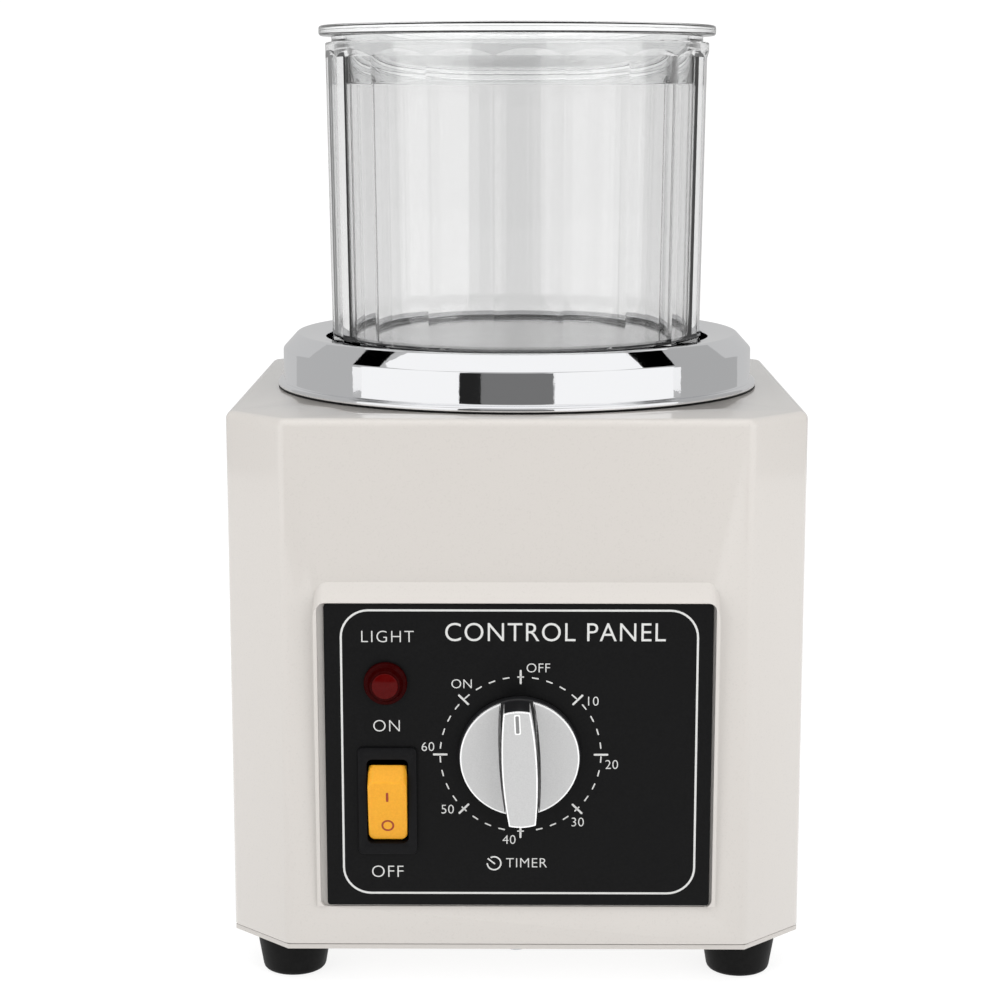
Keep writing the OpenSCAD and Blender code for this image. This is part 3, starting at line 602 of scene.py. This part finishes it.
def hood_wedge():
    """Pressed-out hood: a steep lip over the panel, sides that die away downwards."""
    wedge = block("hood", (-HOOD_HALF, HOOD_FRONT, HOOD_BOTTOM), (HOOD_HALF, FRONT + 4, HOOD_TOP))
    pick_edges(wedge, lambda a, b: max(a.y, b.y) < FRONT - 1 and min(a.z, b.z) > HOOD_TOP - 1)
    bpy.ops.transform.translate(value=(0, 0, (HOOD_RIM - HOOD_TOP) * MM))
    leave_edit()
    pick_edges(wedge, lambda a, b: max(a.y, b.y) < FRONT - 1 and max(a.z, b.z) < HOOD_BOTTOM + 1)
    bpy.ops.transform.translate(value=(0, (FRONT - 1.0 - HOOD_FRONT) * MM, 0))
    leave_edit()
    # The lip runs back at its own slope, so the far edge is lifted to keep it straight
    pick_edges(wedge, lambda a, b: min(a.y, b.y) > FRONT + 1 and min(a.z, b.z) > HOOD_TOP - 1)
    rise = (HOOD_TOP - HOOD_RIM) / (FRONT - HOOD_FRONT) * 4
    bpy.ops.transform.translate(value=(0, 0, rise * MM))
    leave_edit()
    pick_edges(wedge, lambda a, b: abs(a.x - b.x) < 0.1 and min(a.z, b.z) > HOOD_RIM - 1)
    bevel_picked(4.0, 6)
    return wedge


VENT_COUNT = 7
VENT_PITCH = 8
VENT_HALF = 22
VENT_H = 3
VENT_X = 34
VENT_LOWEST = 92


def rear_cutters():
    """Cooling slots and the round holes of the gland and the fuse holder."""
    rear = WIDTH / 2
    tools = []
    for x in (-VENT_X, VENT_X):
        for i in range(VENT_COUNT):
            z = BASE_Z + VENT_LOWEST + i * VENT_PITCH
            slot = block("slot", (x - VENT_HALF, rear - 5, z), (x + VENT_HALF, rear + 5, z + VENT_H))
            pick_edges(slot, lambda a, b: abs(a.y - b.y) > 1)
            bevel_picked(1.45, 5)
            tools.append(slot)
    for node, radius in (("gland_nut", GLAND_R), ("fuse_holder", FUSE_HOLDER_R)):
        centre = middle(node)
        hole = drum("hole", radius, -5, 5)
        place(hole, Matrix.Translation(Vector((centre.x, rear, centre.z)) * MM)
              @ Matrix.Rotation(math.radians(90), 4, "X"))
        tools.append(hole)
    return join(tools, "rear_cutters")


def make_casing():
    casing = casing_blank()
    combine(casing, hood_wedge(), "UNION")
    inner = WIDTH / 2 - SHEET
    hollow = block("hollow", (-inner, -inner, FLOOR_Z - 5), (inner, inner, TOP_Z - SHEET))
    pick_edges(hollow, lambda a, b: abs(a.z - b.z) > 1)
    bevel_picked(CORNER_CUT - 0.7, 1)
    combine(casing, hollow, "DIFFERENCE")
    x, y = PANEL_MIDDLE
    recess = slab("recess", rounded_rect(*RECESS, 2.5, (x - 0.65, y)), -PANEL_T, 20)
    combine(casing, place(recess, PANEL), "DIFFERENCE")
    window = slab("window", rounded_rect(*WINDOW, 3, (x, y)), -20, 20)
    combine(casing, place(window, PANEL), "DIFFERENCE")
    combine(casing, drum("opening", OPENING_R, TOP_Z - 10, TOP_Z + 10), "DIFFERENCE")
    combine(casing, rear_cutters(), "DIFFERENCE")
    soften(casing, 0.35, 2, angle=38)
    apply_modifier(casing, "WEIGHTED_NORMAL", keep_sharp=True)
    finish_piece(casing, casing_enamel, "root", ["casing"], smooth=32)


# ---------------------------------------------------------------- ring, bowl and lid

RING_FLANGE_R = 82.4
RING_WALL_R = 80.5
RING_BEVEL_R = 75.5
RING_BORE_R = 65.7
# Height of the black band under the flange: a painted shadow for the gap between ring and casing.
SHADOW_BAND = 0.6


def make_ring():
    z = TOP_Z
    outline = rounded([
        (RING_WALL_R - 1.8, z + SHADOW_BAND, 0), (RING_FLANGE_R, z + SHADOW_BAND, 0.4),
        (RING_FLANGE_R, z + 2.5, 1.1),
        (RING_WALL_R, z + 2.5, 0.5), (RING_WALL_R, z + 13.0, 1.1), (RING_BEVEL_R, z + 18.5, 1.6),
        (RING_BORE_R, z + 17.3, 0.9), (RING_BORE_R, z + 8.5, 0.3),
        (RING_BORE_R + 1.6, z + 8.5, 0.3), (RING_BORE_R + 1.6, z + 15.7, 0.5),
        (RING_BEVEL_R - 1, z + 16.6, 0.5), (RING_WALL_R - 1.8, z + 12.4, 0.5),
    ], steps=5)
    ring = lathe("bowl_ring_shell", outline, steps=192)
    apply_modifier(ring, "WEIGHTED_NORMAL", keep_sharp=True)
    finish_piece(ring, ring_chrome, "root", ["bowl_ring"], smooth=80)
    # A thin black rubber band under the flange is painted shadow filling the gap between ring and casing.
    shadow_band = lathe("ring_shadow_band", [(RING_WALL_R - 1.8, z), (RING_FLANGE_R - 0.1, z),
                                   (RING_FLANGE_R - 0.1, z + SHADOW_BAND),
                                   (RING_WALL_R - 1.8, z + SHADOW_BAND)], steps=192)
    finish_piece(shadow_band, foot_rubber, "root")


BOWL_WALL = 2.7
BOWL_TAPER = 1.6
LID_OVERHANG = 2.2
FLATS = 18
FLAT_TURN = 3.5
FLAT_DEPTH = 0.95
FLAT_TOP = RIM_Z - 5.0
FLAT_RUN_OUT = 2.3


def make_bowl():
    rim_r = box_mm("lid")[1].x - LID_OVERHANG
    base_r = rim_r - BOWL_TAPER
    height = RIM_Z - SEAT_Z
    lean = math.atan2(rim_r - base_r, height)
    outline = rounded([
        (0, SEAT_Z + 6, 0), (base_r - BOWL_WALL - 0.6, SEAT_Z + 6, 0.6),
        (base_r - BOWL_WALL, SEAT_Z, 0.4), (base_r, SEAT_Z, 1.0),
        (rim_r, RIM_Z, 0.7), (rim_r - BOWL_WALL, RIM_Z, 0.7),
        (base_r - BOWL_WALL + 0.2, SEAT_Z + 9, 2.0), (0, SEAT_Z + 9, 0),
    ], steps=4, closed=False)
    bowl = lathe("bowl_clear", outline, steps=360, closed=False)
    # Each flat is cut by a block whose top slopes out, which leaves an arched run-out
    cutters = []
    for i in range(FLATS):
        cutter = block("flat", (0, -14, SEAT_Z - 5), (12, 14, FLAT_TOP))
        pick_edges(cutter, lambda a, b: min(a.x, b.x) > 11 and min(a.z, b.z) > FLAT_TOP - 1)
        slope = FLAT_RUN_OUT / FLAT_DEPTH
        bpy.ops.transform.translate(value=(0, 0, 12 * slope * MM))
        leave_edit()
        turn = math.radians(-90 + FLAT_TURN + i * 360 / FLATS)
        cutters.append(place(cutter, (
            Matrix.Rotation(turn, 4, "Z")
            @ Matrix.Translation(Vector((base_r - FLAT_DEPTH, 0, SEAT_Z)) * MM)
            @ Matrix.Rotation(lean, 4, "Y")
            @ Matrix.Translation(Vector((0, 0, -SEAT_Z)) * MM))))
    combine(bowl, join(cutters, "flats"), "DIFFERENCE")
    finish_piece(bowl, bowl_plastic, "bowl", ["bowl"], smooth=4)


def make_lid():
    edge_r = box_mm("lid")[1].x
    rim_r = edge_r - LID_OVERHANG
    skirt_r = rim_r - BOWL_WALL - 0.3
    z = RIM_Z
    top = box_mm("lid")[1].z
    low = box_mm("lid")[0].z
    outline = rounded([
        (0, top, 0), (edge_r, top, 0.9), (edge_r, top - 3.4, 1.0),
        (skirt_r + 0.9, top - 3.4, 0.3), (skirt_r + 0.9, z, 0.2), (skirt_r, z, 0.2),
        (skirt_r, low, 0.8), (skirt_r - 2.2, low, 0.8), (skirt_r - 2.2, top - 2.4, 1.2),
        (0, top - 2.4, 0),
    ], steps=4, closed=False)
    lid = lathe("lid_clear", outline, steps=256, closed=False)
    finish_piece(lid, lid_plastic, "lid", ["lid"], smooth=35)


# ---------------------------------------------------------------- feet


def make_feet():
    for node in ("foot_front_left", "foot_front_right", "foot_rear_left", "foot_rear_right"):
        low, high = box_mm(node)
        top_r = (high.x - low.x) / 2
        outline = rounded([
            (2.3, high.z, 0), (top_r - 0.4, high.z, 0.3), (top_r, high.z - 1.2, 0.8),
            (top_r - 0.3, high.z - 3.2, 0.6), (top_r - 1.95, 0.0, 2.0),
            (5.0, 0.0, 0.5), (5.0, 7.0, 0.3), (2.3, 7.0, 0),
        ], steps=4)
        foot = lathe(node + "_rubber", outline, steps=64)
        centre = (low + high) / 2
        place(foot, Matrix.Translation(Vector((centre.x, centre.y, 0)) * MM))
        finish_piece(foot, foot_rubber, "root", [node], smooth=40)


# ---------------------------------------------------------------- control panel

PRINT = 0.05
BORDER = (112.4, 93.8)
BORDER_LINE = 0.65
BORDER_RADIUS = 9.0
DIAL_R = 25.4
DASH_PITCH = 10.4
# The printed dial sits a little to the right of the knob's axis
DIAL_SHIFT = 0.3
DIAL_WORDS = [
    ("OFF", 5.5, 28.2), ("10", 22.5, 17.4), ("20", 28.8, -3.4), ("30", 18.1, -22.5),
    ("40", -3.6, -28.4), ("50", -23.2, -18.3), ("60", -29.3, 2.4), ("ON", -18.5, 23.0),
]


def printed(outline, name="print"):
    return slab(name, outline, 0.0, PRINT)


def lettering(text, x, y, height, spread_by=1.0, bold=0.0, wide=1.0):
    """Printed words, centred on a point of the panel."""
    bpy.ops.object.text_add(location=(0, 0, 0))
    piece = bpy.context.object
    words = piece.data
    words.body = text
    words.align_x = "CENTER"
    words.align_y = "CENTER"
    words.size = height / 0.70 * MM
    words.space_character = spread_by
    words.offset = bold * MM
    words.extrude = PRINT / 2 * MM
    words.resolution_u = 5
    bpy.ops.object.convert(target="MESH")
    piece = bpy.context.object
    return place(piece, Matrix.Translation(Vector((x, y, PRINT / 2)) * MM)
                 @ Matrix.Diagonal((wide, 1, 1, 1)))


def bar(length, width, radius, angle):
    """A straight mark whose middle lies at a radius and clock angle on the dial."""
    mark = printed(rounded_rect(width, length, min(width, length) * 0.3, steps=2))
    return place(mark, Matrix.Rotation(-math.radians(angle), 4, "Z")
                 @ Matrix.Translation((0, radius * MM, 0)))


def make_border():
    x, y = PANEL_MIDDLE
    centre = (x + 0.25, y + 1.2)
    outer = printed(rounded_rect(*BORDER, BORDER_RADIUS, centre, steps=10), "border")
    inside = [side - 2 * BORDER_LINE for side in BORDER]
    hole = slab("hole", rounded_rect(*inside, BORDER_RADIUS - BORDER_LINE, centre, steps=10), -1, 1)
    combine(outer, hole, "DIFFERENCE")
    return outer


def clock_sign(x, y):
    """A small open ring with a hand: the usual sign for a timer."""
    outer, inner = 2.4, 1.95
    arc = [math.radians(a) for a in range(-30, 271, 15)]
    outline = [(x + outer * math.sin(a), y + outer * math.cos(a)) for a in arc]
    outline += [(x + inner * math.sin(a), y + inner * math.cos(a)) for a in reversed(arc)]
    hand = place(printed(rounded_rect(0.45, 3.0, 0.15, (0, 1.1))),
                 Matrix.Translation((x * MM, y * MM, 0)) @ Matrix.Rotation(0.9, 4, "Z"))
    return [printed(outline), hand]


def make_print():
    """All the silver print on the panel, thin enough to read as ink."""
    pieces = [make_border()]
    for angle in [i * DASH_PITCH for i in range(-16, 17)] + [180]:
        pieces.append(bar(0.42, 2.15, DIAL_R, angle))
    for angle in range(0, 360, 45):
        pieces.append(bar(4.6, 0.64, DIAL_R, angle))
    for text, x, y in DIAL_WORDS:
        pieces.append(lettering(text, x, y, 3.0, 1.05, bold=-0.04))
    dial = join(pieces[1:], "dial")
    place(dial, Matrix.Translation((DIAL_SHIFT * MM, 0, 0)))
    pieces = [pieces[0], dial]
    pieces.append(lettering("TIMER", 2.2, -36.2, 3.2, 1.08, bold=-0.05))
    pieces += clock_sign(-8.1, -36.2)
    lamp_x, lamp_y = on_panel("lamp_lens")
    switch_x, switch_y = on_panel("switch_housing")
    pieces.append(lettering("LIGHT", lamp_x + 0.6, lamp_y + 14.8, 3.85, 1.15, bold=-0.08))
    pieces.append(lettering("ON", switch_x - 0.1, switch_y + 24.8, 3.9, 1.1, bold=-0.08))
    pieces.append(lettering("OFF", switch_x - 0.3, switch_y - 23.6, 4.0, 1.1, bold=-0.08))
    pieces.append(lettering("CONTROL PANEL", 11.0, 39.6, 6.0, 1.08, bold=-0.04, wide=0.95))
    panel_print = join(pieces, "panel_print")
    place(panel_print, PANEL)
    finish_piece(panel_print, panel_silver, "root")


# ---------------------------------------------------------------- switch

# The switch is placed by the rocker's pivot, so that the rocker clears both ends of its opening
SWITCH = PANEL.inverted() @ Vector(joints["rocker_tip"]["pos_m"])
SWITCH_FRAME = PANEL @ Matrix.Translation((SWITCH.x, SWITCH.y, 0))
ROCKER_TILT = 13.6
ROCKER_W = 12.3
BEZEL = (18.7, 35.3)
SWITCH_OPENING = (13.2, 27.8)


def make_switch():
    bezel = slab("switch_bezel", rounded_rect(*BEZEL, 1.6), 0, 1.3)
    pick_edges(bezel, lambda a, b: min(a.z, b.z) > 1.2)
    bevel_picked(0.5, 3)
    body = block("body", (-8.2, -15.8, -24), (8.2, 15.8, 0.4))
    combine(bezel, body, "UNION")
    opening = slab("opening", rounded_rect(*SWITCH_OPENING, 1.8), -4, 5)
    combine(bezel, opening, "DIFFERENCE")
    cavity = block("cavity", (-6.6, -15.1, -22), (6.6, 15.1, -2.5))
    combine(bezel, cavity, "DIFFERENCE")
    soften(bezel, 0.15, 2, angle=50)
    place(bezel, SWITCH_FRAME)
    finish_piece(bezel, black_plastic, "root", ["switch_housing"])


def rocker_frame():
    pivot = Vector(joints["rocker_tip"]["pos_m"])
    return (Matrix.Translation(pivot) @ PANEL.to_3x3().to_4x4()
            @ Matrix.Rotation(math.radians(ROCKER_TILT), 4, "X"))


def make_rocker():
    """Amber rocker: drawn as a side view, pushed out to its width, then rounded."""
    face_h, crest, end = 11.5, 10.45, 13.6
    side = [(crest, face_h), (end, face_h - 5.6), (6, -3), (-6, -3),
            (-end, face_h - 5.6), (-crest, face_h)]
    rocker = slab("rocker_amber", side, -ROCKER_W / 2, ROCKER_W / 2)
    # The side view's first axis runs up the panel, its second out of it
    turn = Matrix(((0, 0, 1), (1, 0, 0), (0, 1, 0))).to_4x4()
    place(rocker, turn)
    pick_edges(rocker, lambda a, b: abs(a.z - b.z) > 3 and abs(a.y) > 10 and abs(b.y) > 10
               and abs(a.x - b.x) < 0.1)
    bevel_picked(2.0, 5)
    pick_edges(rocker, lambda a, b: min(a.z, b.z) > face_h - 0.1)
    bevel_picked(0.45, 3)
    place(rocker, rocker_frame())
    finish_piece(rocker, rocker_amber, "rocker", ["switch_rocker"], smooth=35)
    line = slab("line", rounded_rect(0.75, 3.3, 0.15, (0, 5.2)), face_h - 0.01, face_h + 0.04)
    circle = [(2.05 * math.sin(a), -5.3 + 2.05 * math.cos(a))
              for a in [math.radians(d) for d in range(0, 360, 10)]]
    ring = slab("ring", circle, face_h - 0.01, face_h + 0.04)
    combine(ring, drum("hole", 1.45, face_h - 1, face_h + 1, (0, -5.3), 36), "DIFFERENCE")
    marks = join([line, ring], "rocker_marks")
    place(marks, rocker_frame())
    finish_piece(marks, rocker_mark, "rocker")


# ---------------------------------------------------------------- pilot lamp


def make_lamp():
    """Dark red lens ring with a brighter dome in its middle."""
    lamp_frame = PANEL @ Matrix.Translation(Vector((*on_panel("lamp_lens"), 0)) * MM)
    outline = rounded([
        (0, 1.0, 0), (5.4, 1.0, 0.2), (5.4, 0.02, 0.2), (6.85, 0.02, 0.2), (6.85, 1.8, 0.9),
        (5.6, 2.2, 0.3), (4.7, 4.2, 0.7), (0, 4.7, 0),
    ], steps=4, closed=False)
    lens = lathe("lamp_lens_red", outline, steps=64, closed=False)
    place(lens, lamp_frame)
    finish_piece(lens, lamp_red, "root", ["lamp_lens"], smooth=35)
    outline = rounded([(0, 4.0, 0), (4.1, 4.0, 0), (4.1, 4.45, 0.3), (0, 4.88, 0)],
                      steps=3, closed=False)
    dome = lathe("lamp_dome", outline, steps=48, closed=False)
    place(dome, lamp_frame)
    finish_piece(dome, lamp_dome, "root", ["lamp_lens"], smooth=35)


# ---------------------------------------------------------------- timer knob

KNOB_R = 19.0
KNOB_H = 16.0
KNOB_REST = 2.8
BAR_LENGTH = 36.4
KNOB = PANEL @ Matrix.Rotation(math.radians(KNOB_REST), 4, "Z")


def bar_plan(middle_w, end_w, length, steps=12):
    """Outline of the grip bar: bowed sides between two ends that follow the knob's edge."""
    half = length / 2
    bow = 0.55
    side = []
    for i in range(steps + 1):
        y = half - length * i / steps
        side.append(((middle_w - (middle_w - end_w) * (y / half) ** 2) / 2, y))
    end = [(x * end_w / 2, half + bow * (1 - x * x))
           for x in (-0.75, -0.5, -0.25, 0, 0.25, 0.5, 0.75)]
    far_end = [(-x, -y) for x, y in end]
    return end + side + far_end + [(-x, y) for x, y in reversed(side)]


def make_knob_body():
    outline = rounded([(5.2, 0.5, 0), (19.4, 0.5, 0.3), (19.1, 3.2, 0.6), (0, 3.4, 0)],
                      steps=4, closed=False)
    skirt = lathe("knob_black_body", outline + [Vector((0, 1.6)), Vector((5.2, 1.6))], steps=96)
    core = slab("core", bar_plan(10.2, 7.8, BAR_LENGTH - 0.2), 2.0, KNOB_H - 0.8)
    combine(skirt, core, "UNION")
    place(skirt, KNOB)
    finish_piece(skirt, knob_black, "timer_knob", ["knob_body"], smooth=35)


def make_knob_trim():
    """Silver halves of the face, and the grip bar's cap and cheeks; the white strips on their chamfered edges are
    painted highlights.
    """
    low, high = 3.2, 4.2
    cap_top = KNOB_H - 0.12
    face = drum("knob_face", 18.75, low, high, sides=128)
    combine(face, slab("groove", bar_plan(12.3, 9.7, 40), 0, 10), "DIFFERENCE")
    cap = slab("knob_cap", bar_plan(10.9, 8.3, BAR_LENGTH), KNOB_H - 0.8, cap_top)
    for piece, top, stem in ((face, high, "knob_face"), (cap, cap_top, "knob_cap")):
        pick_faces(piece, lambda c, n: n.z > 0.9 and c.z > top - 0.1)
        # The inset rim is split off and made white as a painted highlight on the chamfered edge.
        bpy.ops.mesh.inset(thickness=0.42 * MM, depth=0.06 * MM)
        bpy.ops.mesh.select_all(action="INVERT")
        bpy.ops.mesh.separate(type="SELECTED")
        leave_edit()
        edge = next(o for o in bpy.context.selected_objects if o is not piece)
        edge.name = edge.data.name = stem + "_edge"
        place(edge, KNOB)
        finish_piece(edge, knob_edge_highlight, "timer_knob", ["knob_trim"])
        place(piece, KNOB)
        finish_piece(piece, knob_satin, "timer_knob", ["knob_trim"])
    cheeks = slab("knob_cheeks", bar_plan(10.8, 8.2, BAR_LENGTH - 1.2), high - 0.8, KNOB_H - 0.8)
    place(cheeks, KNOB)
    finish_piece(cheeks, knob_side, "timer_knob", ["knob_trim"])
    pointer_y = BAR_LENGTH / 2 - 3.6
    # The pointer's white rim is a painted highlight on the edges of its slot.
    pointer = slab("knob_pointer", rounded_rect(1.9, 6.4, 0.5, (0, pointer_y)), KNOB_H - 0.3,
                   KNOB_H - 0.01)
    inside = slab("inside", rounded_rect(1.1, 5.6, 0.3, (0, pointer_y)), 0, 20)
    combine(pointer, inside, "DIFFERENCE")
    place(pointer, KNOB)
    finish_piece(pointer, knob_edge_highlight, "timer_knob", ["knob_trim"])
    # A grey slab flush with the pointer's rim: painted shade standing in for the slot's depth.
    slot = slab("knob_pointer_slot", rounded_rect(1.1, 5.6, 0.3, (0, pointer_y)), KNOB_H - 0.3,
                KNOB_H - 0.02)
    place(slot, KNOB)
    finish_piece(slot, knob_slot_shade, "timer_knob", ["knob_trim"])


# ---------------------------------------------------------------- studio


def glow(name, grey, strength, albedo=0.0):
    """A stage surface with an even glow over a plain matt colour."""
    material, _, shader = new_material(name, (albedo, albedo, albedo), Roughness=1.0)
    shader.inputs["Specular IOR Level"].default_value = 0.0
    shader.inputs["Emission Color"].default_value = (grey, grey, grey, 1.0)
    shader.inputs["Emission Strength"].default_value = strength
    return material


FLOOR_GLOW = 0.84
SOFT_WHITE = 1.02
LIT_POINT = (0, 0, 0.14)


def make_sweep():
    """Pale floor that curves up into a wall behind the object."""
    side = rounded([(-8.0, 0.0, 0), (1.6, 0.0, 0.7), (1.6, 3.0, 0)], steps=16, closed=False)
    sweep = trace("studio_sweep", [(-8000, y * 1000, z * 1000) for y, z in side], closed=False)
    bpy.ops.mesh.extrude_region_move(TRANSFORM_OT_translate={"value": (16.0, 0, 0)})
    leave_edit()
    bpy.ops.object.shade_smooth()
    sweep.data.materials.append(glow("floor_white", 1.0, FLOOR_GLOW, albedo=0.22))


def make_card(name, at, size, grey, facing=(0, 0, 0.17), along=(0, 0, 1)):
    """A card that shows only in reflections: its height runs as near as it can to along."""
    out = (Vector(facing) - Vector(at)).normalized()
    across = Vector(along).cross(out).normalized()
    turn = Matrix((across, out.cross(across), out)).transposed().to_4x4()
    bpy.ops.mesh.primitive_plane_add(size=1)
    card = bpy.context.object
    card.name = name
    card.matrix_world = (Matrix.Translation(Vector(at)) @ turn
                         @ Matrix.Diagonal((size[0], size[1], 1, 1)))
    card.data.materials.append(glow(name, grey, 1.0))
    card.visible_camera = False
    card.visible_diffuse = False
    card.visible_shadow = False
    card.visible_transmission = False


def make_light(name, at, size, power):
    """A soft light on the object, with a plain white card in its place for reflections."""
    bpy.ops.object.light_add(type="AREA", location=at)
    lamp = bpy.context.object
    lamp.name = name
    lamp.data.shape = "RECTANGLE"
    lamp.data.size, lamp.data.size_y = size
    lamp.data.energy = power
    lamp.rotation_euler = (Vector(LIT_POINT) - Vector(at)).to_track_quat("-Z", "Y").to_euler()
    lamp.visible_glossy = False
    up = (0, 1, 0) if at[0] == 0 else (0, 0, 1)
    make_card(name + "_card", at, size, SOFT_WHITE, LIT_POINT, up)


WORLD_STRENGTH = 0.5
CARD_Y = -0.90


def make_studio():
    world = bpy.data.worlds.new("studio")
    world.use_nodes = True
    world.node_tree.nodes["Background"].inputs["Color"].default_value = (1.0, 1.0, 1.0, 1.0)
    world.node_tree.nodes["Background"].inputs["Strength"].default_value = WORLD_STRENGTH
    bpy.context.scene.world = world
    bpy.context.scene.view_settings.view_transform = "Standard"
    make_sweep()
    make_light("top_box", at=(0.0, -0.35, 1.40), size=(2.1, 1.0), power=11.7)
    make_light("left_box", at=(-1.15, -0.88, 0.55), size=(1.5, 1.1), power=11)
    make_light("right_box", at=(1.08, -0.96, 0.55), size=(1.85, 1.1), power=13.5)
    # Two upright cards just behind the camera
    for name, x, width, grey in (("black_card", -0.350, 0.181, 0.018),
                                 ("grey_card", 0.004, 0.526, 0.18)):
        make_card(name, at=(x, CARD_Y, 0.20), size=(width, 0.40), grey=grey,
                  facing=(x, 0, 0.20))
    # Black cards high to the left and right, and grey ones to both sides and behind
    make_card("left_dark", at=(-0.783, 0.216, 1.103), size=(0.25, 0.30), grey=0.0,
              along=(0.70, 0.54, 0.46))
    make_card("right_dark", at=(0.760, 0.156, 1.138), size=(0.294, 0.30), grey=0.0,
              along=(-0.70, 0.54, 0.46))
    make_card("left_grey", at=(-1.164, 0.553, 0.55), size=(1.75, 1.7), grey=0.47)
    make_card("right_grey", at=(1.164, 0.553, 0.55), size=(1.75, 1.7), grey=0.43)
    make_card("back_grey", at=(0.0, 0.88, 0.55), size=(1.9, 1.1), grey=0.57,
              facing=(0, 0, 0.55))


CAMERA_AHEAD = 822.8
CAMERA_OVER_TOP = 101.2
CAMERA_TILT = 9.843
CAMERA_PAN = 0.393
CAMERA_LENS = 85.68


def make_camera():
    bpy.ops.object.camera_add(
        location=Vector((0, -CAMERA_AHEAD, TOP_Z + CAMERA_OVER_TOP)) * MM,
        rotation=(math.radians(90 - CAMERA_TILT), 0, math.radians(CAMERA_PAN)))
    camera = bpy.context.object
    camera.data.lens = CAMERA_LENS
    camera.data.clip_start = 0.01
    bpy.context.scene.camera = camera


make_camera()
make_casing()
make_ring()
make_bowl()
make_lid()
make_feet()
make_print()
make_switch()
make_rocker()
make_lamp()
make_knob_body()
make_knob_trim()
make_studio()
